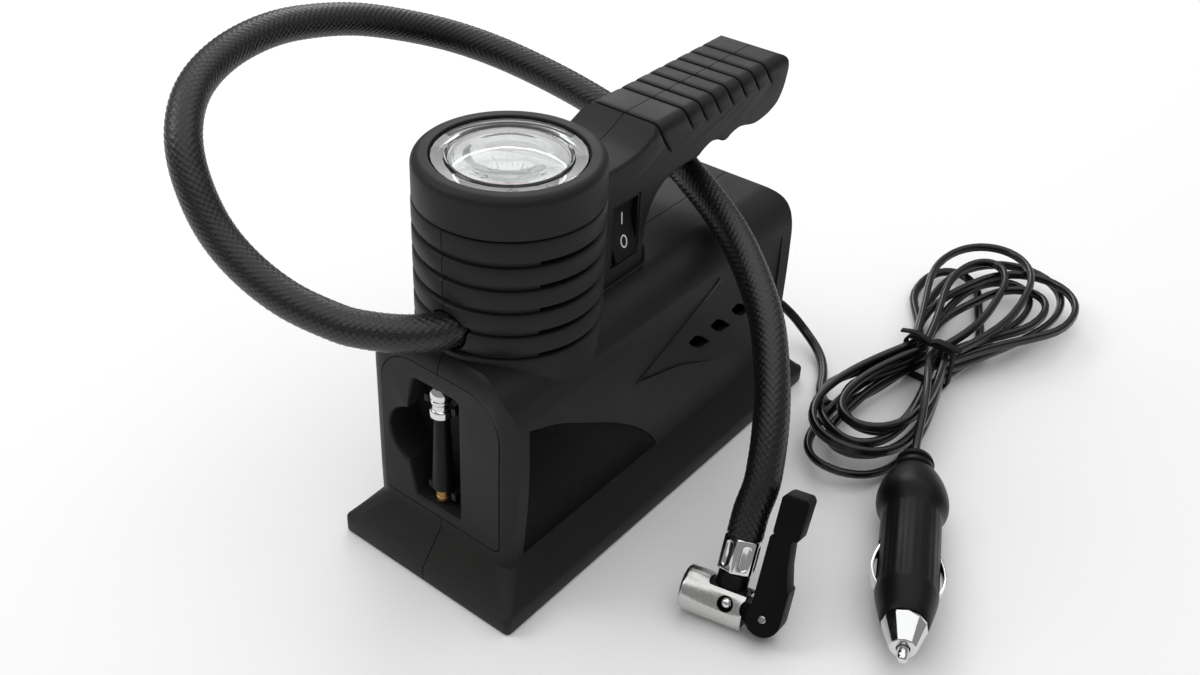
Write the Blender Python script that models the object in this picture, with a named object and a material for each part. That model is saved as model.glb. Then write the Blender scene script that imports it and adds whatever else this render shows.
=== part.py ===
"""Portable 12 V tire inflator with a gauge tower, carry handle, air hose and car plug.

Lengths below are in millimetres and are turned into metres when a mesh is made.
Frame: +Z up, the storage pocket faces -Y, the switch side faces +X and the origin
is the middle of the base on the floor.
"""
import math

import bmesh
import bpy
import numpy as np
from mathutils import Matrix, Vector

MM = 0.001
GAP = 0.3                      # air between neighbouring pieces
SEAM = 0.15                    # each half stops this far from x = 0

# Housing
BASE_HW, BASE_HL, BASE_EDGE = 38.0, 91.5, 6.9
FOOT_HW, BODY_HL, FOOT_Z = 29.0, 82.0, 17.9
BODY_HW, BODY_TOP, ARCH_R = 31.2, 88.0, 16.0
CORNER_R = 8.0
WALL = 2.5
TOWER_Y, TOWER_R, TOWER_TOP = -48.4, 30.2, 131.8
GROOVES = [123.7, 115.6, 107.4, 99.2, 91.0]
GROOVE_W, GROOVE_D = 1.4, 1.5
LABEL_X = 28.6
POCKET_D = 14.0                # depth of the storage pocket behind the front face
HANDLE_HW, HANDLE_TOP = 15.5, 138.1
GRIP_Y = [9.8] + [25.2 + 8.25 * i for i in range(7)]

# Gauge
BEZEL_R, BEZEL_H = 30.0, 13.9   # height above the tower's top
LENS_R, WINDOW_R = 25.2, 24.0

# Drive
GEAR_Z, MOTOR_Z, MODULE = 31.0, 60.2, 1.0
PINION_T, GEAR_T = 10, 48
CRANK_R = 7.0
BORE_R = 10.4

# Hose and cord
HOSE_D = 12.0
CORD_D = 3.4
HOSE_PATH = [
    (2.0, -68.5, 97.0), (2.0, -74.0, 97.0), (0.6, -79.0, 97.2), (-2.6, -84.4, 97.3),
    (-8.6, -89.9, 97.2), (-18.0, -95.0, 97.0), (-26.0, -98.6, 97.9), (-40.9, -104.2, 102.3),
    (-55.6, -107.6, 109.6), (-68.0, -108.7, 119.0), (-78.2, -107.2, 130.8), (-86.6, -102.6, 140.6),
    (-94.9, -93.6, 147.4), (-101.6, -81.6, 151.4), (-106.0, -66.0, 154.0), (-108.5, -47.5, 154.2),
    (-109.0, -29.1, 151.6), (-107.8, -8.8, 146.6), (-103.6, 10.6, 139.6), (-95.4, 26.0, 133.2),
    (-83.6, 36.9, 127.4), (-69.0, 44.6, 121.6), (-52.0, 49.6, 116.0), (-34.0, 51.6, 110.8),
    (-17.0, 51.2, 106.0), (-0.6, 48.4, 101.8), (6.1, 46.2, 99.8), (17.9, 41.4, 96.4),
    (29.7, 35.5, 93.0), (39.4, 29.4, 89.5), (48.5, 22.8, 85.6), (55.7, 17.1, 81.9), (61.7, 11.5, 77.9), (67.2, 5.3, 72.9),
    (72.1, -0.6, 67.3), (76.0, -6.0, 61.4), (79.0, -10.9, 55.3), (81.3, -15.4, 49.0), (82.8, -19.4, 42.8),
]

# Chuck, lying on the floor
CHUCK_Q = (86.4, -38.9, 8.7)
CHUCK_A = (0.975, 0.221, 0.0)              # sleeve axis, away from the mouth
CHUCK_H = (-0.109, 0.481, 0.870)           # from the sleeve up the hose
SLEEVE_R, SLEEVE_WALL, SLEEVE_LO, SLEEVE_HI = 7.6, 1.1, -14.9, 7.0
STEM_L, FERRULE_L, FERRULE_AF = 10.1, 12.1, 11.4
PIVOT_T, CAM_R, LUG_R, PIN_R = 13.3, 5.9, 3.1, 1.25
LEVER_L, LEVER_GAP, LEVER_HW, PAD_HW = 41.0, 4.4, 6.0, 6.6

# Car plug, lying on the floor
PLUG_TIP = (142.4, -28.0, 12.7)
PLUG_BACK = (-0.414, 0.910, 0.0)           # from the tip to the cord
BARREL_R, BULGE_R, PLUG_L = 10.25, 12.4, 97.0
FUSE_R, FUSE_L = 3.15, 30.0
PLUG_BORE = 5.0
CONTACT_W = 4.4

# Power cord: rear wall to hank, hank, hank to plug
CORD_EXIT = (12.0, 96.0, 24.6)
TIE = (76.0, 124.0)
CORD_LEAD = [
    (12.0, 77.0, 24.6), (12.0, 86.0, 24.6), (12.0, 96.6, 24.6), (12.8, 102.0, 23.4), (15.6, 107.4, 19.2), (20.8, 111.0, 13.2),
    (27.6, 111.6, 7.4), (34.6, 108.6, 4.4), (40.4, 103.0, 3.4), (45.2, 95.4, 3.4), (48.6, 88.0, 3.4), (52.2, 82.4, 3.4),
    (56.4, 80.0, 3.4), (60.2, 82.2, 3.4), (62.6, 88.0, 3.4), (64.6, 96.0, 3.4), (66.6, 105.5, 3.4),
]
LAYER_Z, LAYER_PITCH = 3.4, 4.0
LEAN_OVER = (95, 150)                      # degrees of a half loop over which its lean changes
SLOTS = {1: 2.3, 2: 6.8}                    # sideways places of a strand under the tie
# half loops: side (+1 to the rear), slot in, slot out, reach, swell, lean in, lean out, layer in, layer out
HANK = [
    (1, -2, 2, 84, 18, -17, -17, 0, 0), (-1, 2, -2, 82, 26, 0, 4, 0, 1),
    (1, -2, 2, 98, 38, 2, 2, 1, 1), (-1, 2, -1, 70, 22, 0, 4, 1, 1),
    (1, -1, 1, 82, 24, 2, 2, 1, 1), (-1, 1, -1, 58, 16, 0, -8, 1, 2),
    (1, -1, 1, 76, 22, 11, 11, 2, 2), (-1, 1, -2, 68, 22, 0, -8, 2, 2),
    (1, -2, 2, 90, 34, 11, 11, 2, 2), (-1, 2, -2, 77, 27, 0, 0, 2, 3),
    (1, -2, 2, 94, 30, -6, -6, 3, 3), (-1, 2, -1, 62, 20, 0, 0, 3, 3),
    (1, -1, 1, 80, 18, -6, -6, 3, 3),
]
CORD_TAIL = [(79.6, 116.0, 16.8), (83.8, 105.6, 19.8), (88.4, 95.0, 20.6), (92.4, 85.2, 19.4), (95.2, 77.6, 16.4), (97.6, 71.0, 13.8)]


# ---------------------------------------------------------------- helpers
def clear_scene():
    """Empty the file."""
    for obj in list(bpy.data.objects):
        bpy.data.objects.remove(obj, do_unlink=True)
    for block in list(bpy.data.meshes) + list(bpy.data.curves):
        if block.users == 0:
            (bpy.data.meshes if isinstance(block, bpy.types.Mesh) else bpy.data.curves).remove(block)


def material(name, rgb, metallic=0.0, rough=0.5, alpha=1.0):
    """Make one Principled material."""
    mat = bpy.data.materials.new(name)
    mat.use_nodes = True
    bsdf = mat.node_tree.nodes["Principled BSDF"]
    bsdf.inputs["Base Color"].default_value = (*rgb, 1.0)
    bsdf.inputs["Metallic"].default_value = metallic
    bsdf.inputs["Roughness"].default_value = rough
    bsdf.inputs["Alpha"].default_value = alpha
    mat.diffuse_color = (*rgb, alpha)
    return mat


LOOKS = {
    "shell": ((0.022, 0.022, 0.021), 0.0, 0.55),
    "black": ((0.010, 0.010, 0.010), 0.0, 0.45),
    "gloss": ((0.006, 0.006, 0.008), 0.0, 0.12),
    "rubber": ((0.012, 0.012, 0.012), 0.0, 0.8),
    "braid": ((0.015, 0.014, 0.014), 0.0, 0.7),
    "chrome": ((0.72, 0.72, 0.72), 1.0, 0.18),
    "steel": ((0.42, 0.43, 0.44), 1.0, 0.35),
    "alu": ((0.62, 0.62, 0.62), 1.0, 0.45),
    "brass": ((0.62, 0.44, 0.18), 1.0, 0.35),
    "white": ((0.75, 0.75, 0.74), 0.0, 0.5),
    "red": ((0.55, 0.03, 0.02), 0.0, 0.5),
    "nylon": ((0.70, 0.68, 0.60), 0.0, 0.5),
    "clear": ((0.85, 0.87, 0.88), 0.0, 0.05),
}


def dress(obj, look):
    """Give a node its own material."""
    rgb, metallic, rough = LOOKS[look]
    obj.data.materials.clear()
    obj.data.materials.append(material(obj.name + "_mat", rgb, metallic, rough, 0.35 if look == "clear" else 1.0))
    return obj


def finish(name, bm, look=None, matrix=None):
    """Turn a bmesh in millimetres into an object in metres with its faces outwards."""
    bmesh.ops.remove_doubles(bm, verts=bm.verts, dist=1e-4)
    bmesh.ops.recalc_face_normals(bm, faces=bm.faces)
    bmesh.ops.transform(bm, matrix=Matrix.Scale(MM, 4) @ (matrix or Matrix()), verts=bm.verts)
    mesh = bpy.data.meshes.new(name)
    bm.to_mesh(mesh)
    bm.free()
    obj = bpy.data.objects.new(name, mesh)
    bpy.context.collection.objects.link(obj)
    return dress(obj, look) if look else obj


def prism(name, poly, axis, lo, hi, look=None, matrix=None):
    """Extrude a polygon along x, y or z. The polygon's two numbers are the other axes in order."""
    def place(a, b, c):
        return {"x": (c, a, b), "y": (a, c, b), "z": (a, b, c)}[axis]
    bm = bmesh.new()
    face = bm.faces.new([bm.verts.new(place(a, b, lo)) for a, b in poly])
    new = bmesh.ops.extrude_face_region(bm, geom=[face])["geom"]
    moved = [v for v in new if isinstance(v, bmesh.types.BMVert)]
    bmesh.ops.translate(bm, vec=place(0.0, 0.0, hi - lo), verts=moved)
    return finish(name, bm, look, matrix)


def box(name, x, y, z, look=None, matrix=None):
    """Make a box from three (low, high) pairs."""
    bm = bmesh.new()
    size = Matrix.Diagonal((x[1] - x[0], y[1] - y[0], z[1] - z[0], 1.0))
    middle = Matrix.Translation(((x[0] + x[1]) / 2, (y[0] + y[1]) / 2, (z[0] + z[1]) / 2))
    bmesh.ops.create_cube(bm, size=1.0, matrix=middle @ size)
    return finish(name, bm, look, matrix)


def lathe(name, profile, segs=32, look=None, matrix=None):
    """Spin a closed (radius, height) outline about local z."""
    bm = bmesh.new()
    ring = [bm.verts.new((r, 0.0, z)) for r, z in profile]
    edges = [bm.edges.new((ring[i], ring[(i + 1) % len(ring)])) for i in range(len(ring))
             if profile[i][0] > 1e-6 or profile[(i + 1) % len(ring)][0] > 1e-6]
    bmesh.ops.spin(bm, geom=ring + edges, cent=(0, 0, 0), axis=(0, 0, 1), angle=2 * math.pi, steps=segs, use_merge=True)
    return finish(name, bm, look, matrix)


def loft(name, loops, look=None, matrix=None):
    """Bridge closed loops that have the same number of points and cap the ends."""
    bm = bmesh.new()
    rows = [[bm.verts.new(p) for p in loop] for loop in loops]
    rings = [[bm.edges.new((row[k], row[(k + 1) % len(row)])) for k in range(len(row))] for row in rows]
    for low, high in zip(rings, rings[1:]):
        bmesh.ops.bridge_loops(bm, edges=low + high)
    bm.faces.new(rows[0])
    bm.faces.new(rows[-1])
    return finish(name, bm, look, matrix)


def rounded(hx, hy, r, segs=4, cx=0.0, cy=0.0):
    """Return a rounded rectangle outline."""
    pts = []
    for sx, sy, start in ((1, 1, 0), (-1, 1, 90), (-1, -1, 180), (1, -1, 270)):
        for k in range(segs + 1):
            a = math.radians(start + 90 * k / segs)
            pts.append((cx + sx * (hx - r) + r * math.cos(a), cy + sy * (hy - r) + r * math.sin(a)))
    return pts


def frame_at(origin, z_axis, x_hint):
    """Return a matrix whose local z is z_axis and whose local x leans to x_hint."""
    z = Vector(z_axis).normalized()
    x = Vector(x_hint)
    x = (x - x.dot(z) * z).normalized()
    y = z.cross(x)
    m = Matrix(((x.x, y.x, z.x), (x.y, y.y, z.y), (x.z, y.z, z.z))).to_4x4()
    m.translation = Vector(origin)
    return m


def fuse(target, other, how="UNION"):
    """Apply one exact boolean and drop the other object."""
    mod = target.modifiers.new("b", "BOOLEAN")
    mod.operation, mod.solver, mod.object = how, "EXACT", other
    graph = bpy.context.evaluated_depsgraph_get()
    mesh = bpy.data.meshes.new_from_object(target.evaluated_get(graph))
    mesh.name = target.name
    target.modifiers.clear()
    old = target.data
    mats = [m for m in old.materials]
    target.data = mesh
    bpy.data.meshes.remove(old)
    mesh.materials.clear()
    for m in mats:
        mesh.materials.append(m)
    bpy.data.objects.remove(other, do_unlink=True)
    return clean(target)


def cut(target, other):
    """Take other out of target."""
    return fuse(target, other, "DIFFERENCE")


def clean(obj):
    """Merge stray points left by a boolean."""
    bm = bmesh.new()
    bm.from_mesh(obj.data)
    bmesh.ops.remove_doubles(bm, verts=bm.verts, dist=5e-6)
    bmesh.ops.dissolve_degenerate(bm, edges=bm.edges, dist=1e-6)
    bm.to_mesh(obj.data)
    bm.free()
    return obj


def duplicate(obj, name):
    """Copy an object with its mesh."""
    new = bpy.data.objects.new(name, obj.data.copy())
    new.data.name = name
    bpy.context.collection.objects.link(new)
    return new


# ---------------------------------------------------------------- housing
def section(inset=0.0):
    """Return the body's cross-section as (x, z), narrow at the foot and arched on top."""
    side = [(FOOT_HW, 16.0), (29.9, 28.0), (30.8, 40.0), (BODY_HW, 52.0), (BODY_HW, 62.0), (30.9, 72.0)]
    cx, cz = 14.9, BODY_TOP - ARCH_R
    arc = [(cx + ARCH_R * math.cos(math.radians(a)), cz + ARCH_R * math.sin(math.radians(a))) for a in (18, 36, 54, 72, 90)]
    right = [(x - inset, z) for x, z in side] + [(cx + (x - cx) * (ARCH_R - inset) / ARCH_R, cz + (z - cz) * (ARCH_R - inset) / ARCH_R) for x, z in arc]
    if inset:
        right[0] = (right[0][0], 8.0)
    return right + [(-x, z) for x, z in reversed(right)]


NECK = [
    (-48.0, 84.0), (4.6, 84.0), (4.0, 89.0), (3.2, 95.0), (3.7, 101.5), (5.7, 107.8), (9.6, 113.2), (16.6, 116.9),
    (27.0, 117.6), (32.2, 117.2), (36.6, 119.0), (41.1, 120.1), (46.0, 119.0), (50.0, 117.2), (54.2, 118.5),
    (58.5, 119.1), (63.0, 118.3), (68.4, 116.9), (73.4, 116.9), (79.0, 117.9), (84.0, 120.2), (87.6, 125.0),
    (89.5, 131.6), (89.2, 135.0), (87.2, 137.4), (84.0, 138.1), (9.25, 138.1), (3.4, 135.2), (-2.6, 133.0),
    (-10.0, 131.9), (-48.0, TOWER_TOP),
]
NECK_IN = [
    (-40.0, 80.0), (1.9, 80.0), (1.4, 89.0), (0.7, 95.0), (1.2, 102.3), (3.4, 109.3), (8.0, 115.4), (15.8, 119.4),
    (30.0, 120.2), (41.0, 122.7), (50.0, 120.2), (58.5, 121.7), (68.4, 119.5), (78.3, 120.4), (82.6, 122.2),
    (85.3, 126.0), (86.9, 131.6), (86.2, 134.2), (84.0, 135.5), (10.0, 135.5), (4.0, 132.6), (-2.0, 130.5),
    (-10.0, 129.3), (-40.0, 129.2),
]
BOSSES = [(-62.0, 12.5), (70.0, 12.5), (70.0, 72.0), (-24.5, 104.0), (79.0, 128.6)]


def outer_solid():
    """Return the closed outer shape of the housing."""
    base = loft("base_outer", [
        [(x, y, 0.0) for x, y in rounded(BASE_HW - 0.8, BASE_HL - 0.8, 1.8)],
        [(x, y, 0.8) for x, y in rounded(BASE_HW, BASE_HL, 2.0)],
        [(x, y, BASE_EDGE) for x, y in rounded(BASE_HW, BASE_HL, 2.0)],
        [(x, y, FOOT_Z) for x, y in rounded(FOOT_HW, BODY_HL, CORNER_R)],
        [(x, y, FOOT_Z + 2.0) for x, y in rounded(FOOT_HW - 0.4, BODY_HL - 0.4, CORNER_R)],
    ])
    body = prism("body_outer", section(), "y", -BODY_HL, BODY_HL)
    plan = loft("plan", [[(x, y, z) for x, y in rounded(BODY_HW + 3, BODY_HL - d, CORNER_R + 3)] for z, d in
                         ((10.0, 0.0), (82.0, 0.0), (86.4, 1.2), (88.4, 3.4))])
    fuse(body, plan, "INTERSECT")
    prof = [(0.0, 56.0), (TOWER_R, 56.0)]
    for z in reversed(GROOVES):
        prof += [(TOWER_R, z - GROOVE_W / 2 - 0.3), (TOWER_R - GROOVE_D, z - GROOVE_W / 2),
                 (TOWER_R - GROOVE_D, z + GROOVE_W / 2), (TOWER_R, z + GROOVE_W / 2 + 0.3)]
    prof += [(TOWER_R, TOWER_TOP), (0.0, TOWER_TOP)]
    tower = lathe("tower_outer", prof, 28, matrix=Matrix.Translation((0, TOWER_Y, 0)))
    neck = prism("neck_outer", NECK, "x", -HANDLE_HW, HANDLE_HW)
    hood = [(HANDLE_HW + 1, 70.0), (HANDLE_HW + 1, 112.0), (HANDLE_HW, 132.0)]
    hood += [(HANDLE_HW - 4.5 + 4.5 * math.cos(math.radians(a)), HANDLE_TOP - 4.5 + 4.5 * math.sin(math.radians(a))) for a in (15, 30, 45, 60, 75, 90)]
    hood = hood + [(-x, z) for x, z in reversed(hood)]
    fuse(neck, prism("hood", hood, "y", -60.0, 100.0), "INTERSECT")
    for k in GRIP_Y:
        hw, foot = HANDLE_HW, HANDLE_TOP - 9.7
        outer = [(-hw - 2.0, foot), (-hw - 2.0, HANDLE_TOP + 2.9), (hw + 2.0, HANDLE_TOP + 2.9), (hw + 2.0, foot)]
        right = [(hw - 0.9, foot), (hw - 0.9, foot + 4.0), (hw - 1.9, HANDLE_TOP - 3.1), (hw - 4.3, HANDLE_TOP - 1.2)]
        inner = right + [(-x, z) for x, z in reversed(right)]
        cut(neck, prism("grip", outer + inner, "y", k - 0.7, k + 0.7))
    fuse(body, base)
    fuse(body, tower)
    fuse(body, neck)
    return body


def inner_solid():
    """Return the closed shape of the hollow inside the housing."""
    base = loft("base_inner", [
        [(x, y, 3.0) for x, y in rounded(BASE_HW - 3.4, BASE_HL - 3.4, 2.0)],
        [(x, y, BASE_EDGE - 1.0) for x, y in rounded(BASE_HW - 3.2, BASE_HL - 3.2, 2.0)],
        [(x, y, FOOT_Z - 2.0) for x, y in rounded(FOOT_HW - 2.6, BODY_HL - 2.6, CORNER_R - 2)],
    ])
    body = prism("body_inner", section(WALL), "y", -BODY_HL + WALL, BODY_HL - WALL)
    plan = prism("plan_in", rounded(BODY_HW + 0.5, BODY_HL - WALL + 0.01, CORNER_R), "z", 5.0, 90.0)
    fuse(body, plan, "INTERSECT")
    tower = lathe("tower_inner", [(0, 70.0), (27.0, 70.0), (27.0, 140.0), (0, 140.0)], 20, matrix=Matrix.Translation((0, TOWER_Y, 0)))
    neck = prism("neck_inner", NECK_IN, "x", -HANDLE_HW + WALL, HANDLE_HW - WALL)
    fuse(body, base)
    fuse(body, tower)
    fuse(body, neck)
    return body


def panel_outline(grow=0.0):
    """Return the storage panel's outline as (x, z): square at the foot, arched on top."""
    pts = [(-25.4 - grow, 22.0 - grow), (25.4 + grow, 22.0 - grow)]
    cx, cz, r = 11.4, 67.2, 14.0 + grow
    arc = [(cx + r * math.cos(math.radians(a)), cz + r * math.sin(math.radians(a))) for a in range(0, 91, 15)]
    pts += arc + [(-x, z) for x, z in reversed(arc)]
    return pts


def pocket_outline(grow=0.0):
    """Return the keyhole pocket as (x, z)."""
    r, cx, cz = 11.4 + grow, -11.2, 49.8
    pts = [(8.6 + grow, 25.4 - grow), (8.6 + grow, 74.8 + grow), (-11.4 - grow, 74.8 + grow)]
    pts += [(cx + r * math.cos(math.radians(a)), cz + r * math.sin(math.radians(a))) for a in range(100, 261, 16)]
    pts += [(-11.4 - grow, 25.4 - grow)]
    return pts


def housing():
    """Make both halves of the clamshell."""
    solid = outer_solid()
    cut(solid, inner_solid())
    for y, z in BOSSES:
        wide = 40.0
        boss = lathe("boss", [(0, -wide), (3.7, -wide), (3.7, wide), (0, wide)], 8, matrix=Matrix.Translation((0, y, z)) @ Matrix.Rotation(math.pi / 2, 4, "Y"))
        keep = duplicate(boss, "boss_keep")
        skin = outer_like(y, z)
        fuse(keep, skin, "INTERSECT")
        bpy.data.objects.remove(boss, do_unlink=True)
        fuse(solid, keep)
    # storage panel opening and its step
    cut(solid, prism("front_open", panel_outline(GAP), "y", -BODY_HL - 8.0, -BODY_HL + 12.0))
    # hose hole
    cut(solid, lathe("hose_hole", [(0, 0), (6.9, 0), (6.9, 30.0), (0, 30.0)], 20, matrix=frame_at((3.4, -70.0, 97.0), (-0.28, -1.0, 0.0), (0, 0, 1))))
    # switch opening on the right cheek
    cut(solid, box("switch_open", (8.0, 18.0), (-15.5, -0.5), (94.8, 118.2)))
    # cord hole in the rear wall
    cut(solid, lathe("cord_hole", [(0, 0), (4.3, 0), (4.3, 20.0), (0, 20.0)], 16, matrix=frame_at((CORD_EXIT[0], 72.0, CORD_EXIT[2]), (0, 1, 0), (0, 0, 1))))
    # slots in the tower's lower grooves
    for z in GROOVES:
        cut(solid, arc_slot((24.0, 33.0), (z - 0.7, z + 0.7), -30.0, 14.0))
    # flat label field and the motor vents on both cheeks
    vent = [(-18.3, 57.4), (30.2, 75.8), (72.0, 75.8), (72.0, 23.0), (60.3, 23.3), (29.4, 40.4), (8.6, 50.0)]
    cut(solid, prism("label_field", label_outline(), "x", LABEL_X, 40.0))
    for side in (1, -1):
        cut(solid, prism("vent_field", vent, "x", *sorted((side * 30.2, side * 40.0))))
        for k in range(4):
            y0 = 13.4 + 13.6 * k
            louvre = [(y0, 56.9), (y0 + 4.0, 57.8), (y0 + 8.4, 55.2), (y0 + 14.6, 49.6), (y0 + 7.8, 50.4), (y0 + 3.0, 53.4)]
            cut(solid, prism("louvre", louvre, "x", *sorted((side * 26.0, side * 36.0))))
    # screw holes, heads on the left side
    for y, z in BOSSES:
        m = Matrix.Translation((0, y, z)) @ Matrix.Rotation(-math.pi / 2, 4, "Y")
        head = left_face(y, z)
        cut(solid, lathe("screw_bore", [(0, -12.0), (1.75, -12.0), (1.75, head - 5.0), (3.2, head - 5.0), (3.2, 45.0), (0, 45.0)], 8, matrix=m))
    right = duplicate(solid, "housing_right")
    fuse(right, box("half", (SEAM, 60.0), (-120.0, 120.0), (-10.0, 180.0)), "INTERSECT")
    solid.name = "housing_left"
    fuse(solid, box("half", (-60.0, -SEAM), (-120.0, 120.0), (-10.0, 180.0)), "INTERSECT")
    for half in (solid, right):
        clean(half)
        dress(half, "shell")
    return solid, right


def label_outline(grow=0.0):
    """Return the flat field on the right cheek as (y, z), its top edge one long curve."""
    top = [(-73.9, 70.8), (-60.0, 65.4), (-46.6, 57.7), (-33.0, 49.6), (-21.0, 41.0), (-11.0, 32.4), (-4.0, 24.6), (0.2, 18.4)]
    edge = [(-73.9 - grow, 70.8 + 0.7 * grow)] + [(y + 0.7 * grow, z + 0.7 * grow) for y, z in top[1:-1]]
    return [(-73.9 - grow, 18.4 - grow)] + edge + [(0.2 + grow, 18.4 - grow)]


def side_label():
    """Make the thin bare plate in the flat field."""
    return prism("side_label", label_outline(-GAP), "x", LABEL_X + GAP, LABEL_X + GAP + 0.5, "gloss")


def arc_slot(radii, heights, start, end):
    """Return a curved bar about the tower's axis, between two angles from +X in degrees."""
    bm = bmesh.new()
    (r0, r1), (z0, z1) = radii, heights
    face = bm.faces.new([bm.verts.new((r, 0.0, z)) for r, z in ((r0, z0), (r1, z0), (r1, z1), (r0, z1))])
    bmesh.ops.rotate(bm, matrix=Matrix.Rotation(math.radians(start), 3, "Z"), verts=bm.verts)
    bmesh.ops.spin(bm, geom=[face], cent=(0, 0, 0), axis=(0, 0, 1), angle=math.radians(end - start), steps=4)
    return finish("slot", bm, None, Matrix.Translation((0, TOWER_Y, 0)))


def left_face(y, z):
    """Return how far the left side's outer face is from x = 0 at a boss."""
    if z < 16.0:
        return 35.0
    if z > 116.0 or z > 90.0:
        return 15.5
    return 30.2


def outer_like(y, z):
    """Return a box that trims a boss to the housing at its place."""
    if z < 16.0:
        w = 31.0
    elif z > 90.0:
        w = 14.0
    else:
        w = 29.4
    return box("trim", (-w, w), (y - 10, y + 10), (z - 10, z + 10))


def front_panel():
    """Make the storage panel with its keyhole pocket and adapter clips."""
    panel = prism("front_panel", panel_outline(), "y", -BODY_HL + 0.1, -BODY_HL + 2.5)
    tub = prism("tub", pocket_outline(1.6), "y", -BODY_HL + 1.0, -BODY_HL + POCKET_D + 1.6)
    fuse(panel, tub)
    cut(panel, prism("hollow", pocket_outline(), "y", -BODY_HL - 8.0, -BODY_HL + POCKET_D))
    for x, z in ((-7.8, 30.0), (2.4, 30.0), (-8.6, 66.0), (3.2, 66.0)):
        fuse(panel, box("clip", (x - 0.9, x + 0.9), (-BODY_HL + 3.6, -BODY_HL + POCKET_D + 0.6), (z - 1.4, z + 1.4)))
    return dress(clean(panel), "shell")


def screws():
    """Make the five housing screws."""
    out = []
    for i, (y, z) in enumerate(BOSSES):
        head = left_face(y, z)
        m = Matrix.Translation((0, y, z)) @ Matrix.Rotation(-math.pi / 2, 4, "Y")
        top = head - 5.0 + GAP
        prof = [(0, -10.0), (1.4, -10.0), (1.4, top), (2.8, top), (2.8, top + 1.2), (2.0, top + 2.0), (0, top + 2.0)]
        out.append(lathe(f"housing_screw_{i + 1}", prof, 8, "steel", m))
    return out


# ---------------------------------------------------------------- gauge and switch
def gauge():
    """Make the pressure gauge in the tower's head."""
    at = Matrix.Translation((0, TOWER_Y, 0))
    lo = TOWER_TOP + GAP
    top = lo + BEZEL_H
    lathe("gauge_bezel", [(LENS_R + 0.4, lo), (BEZEL_R - 0.6, lo), (BEZEL_R, lo + 0.6), (BEZEL_R, top - 2.6), (BEZEL_R - 0.6, top - 1.0), (BEZEL_R - 2.0, top), (LENS_R, top),
                          (WINDOW_R, top - 1.0), (WINDOW_R, top - 3.0), (LENS_R + 0.4, top - 3.0)], 28, "shell", at)
    lathe("gauge_lens", [(0, top - 5.6), (20.0, top - 5.8), (LENS_R, top - 6.4), (LENS_R, top - 3.4), (23.4, top - 3.3), (18.0, top - 2.6), (9.0, top - 1.8), (0, top - 1.6)], 20, "clear", at)
    lathe("gauge_case", [(0, 104.3), (4.2, 104.3), (4.2, 114.0), (24.6, 114.0), (LENS_R, 115.0), (LENS_R, top - 7.1), (LENS_R - 1.0, top - 7.1), (LENS_R - 1.0, 116.0), (0, 116.0)], 20, "steel", at)
    lathe("gauge_dial", [(1.3, 131.2), (23.8, 131.2), (23.8, 132.2), (1.3, 132.2)], 20, "white", at)
    lathe("gauge_movement", [(1.3, 116.3), (16.0, 116.3), (16.0, 130.9), (1.3, 130.9)], 16, "brass", at)
    hub = lathe("gauge_needle", [(0, 118.0), (0.9, 118.0), (0.9, 133.0), (2.4, 133.0), (2.4, 134.6), (0, 134.6)], 12, None, at)
    a = math.radians(-135)
    hand = prism("hand", [(-6.0, -1.1), (16.0, -0.45), (18.5, 0.0), (16.0, 0.45), (-6.0, 1.1)], "z", 133.3, 134.2, None,
                 at @ Matrix.Rotation(a, 4, "Z"))
    fuse(hub, hand)
    dress(clean(hub), "red")


def switch():
    """Make the rocker switch in the right cheek of the neck."""
    cy, cz = -8.0, 106.5
    frame = box("switch_frame", (-2.5, 15.3), (cy - 7.2, cy + 7.2), (cz - 11.4, cz + 11.4))
    cut(frame, box("s", (1.5, 20.0), (cy - 6.4, cy + 6.4), (cz - 10.9, cz + 10.9)))
    for dy in (-3.2, 3.2):
        fuse(frame, box("tab", (-8.6, -2.0), (cy + dy - 0.4, cy + dy + 0.4), (cz - 6.0 - 2.4, cz - 6.0 + 2.4)))
    dress(clean(frame), "black")
    poly = [(-3.6, -3.4), (-0.6, -10.0), (2.9, -10.3), (1.5, 0.0), (2.9, 10.3), (-0.6, 10.0), (-3.6, 3.4)]
    ang = math.radians(9.0)
    pts = [(12.6 + u * math.cos(ang) - v * math.sin(ang), cz + v * math.cos(ang) + u * math.sin(ang)) for u, v in poly]
    prism("switch_rocker", pts, "y", cy - 6.0, cy + 6.0, "black")


# ---------------------------------------------------------------- drive
def gear_outline(teeth, module, turn=0.0, shrink=0.16):
    """Return a spur gear outline with straight flanks."""
    r = teeth * module / 2
    ro, rr = r + module - 0.1, r - 1.15 * module
    pitch = 2 * math.pi / teeth
    pts = []
    for k in range(round(teeth)):
        a = turn + k * pitch
        tip, root = (pitch / 4 - shrink / r) * 0.5, (pitch / 4 - shrink / r) * 1.45
        pts += [(rad * math.cos(a + d), rad * math.sin(a + d)) for rad, d in ((rr, -root), (ro, -tip), (ro, tip), (rr, root))]
    return pts


def along_y(x, z):
    """Return a matrix that lays local z along +y at (x, z)."""
    return Matrix.Translation((x, 0, z)) @ Matrix.Rotation(-math.pi / 2, 4, "X")


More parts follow.
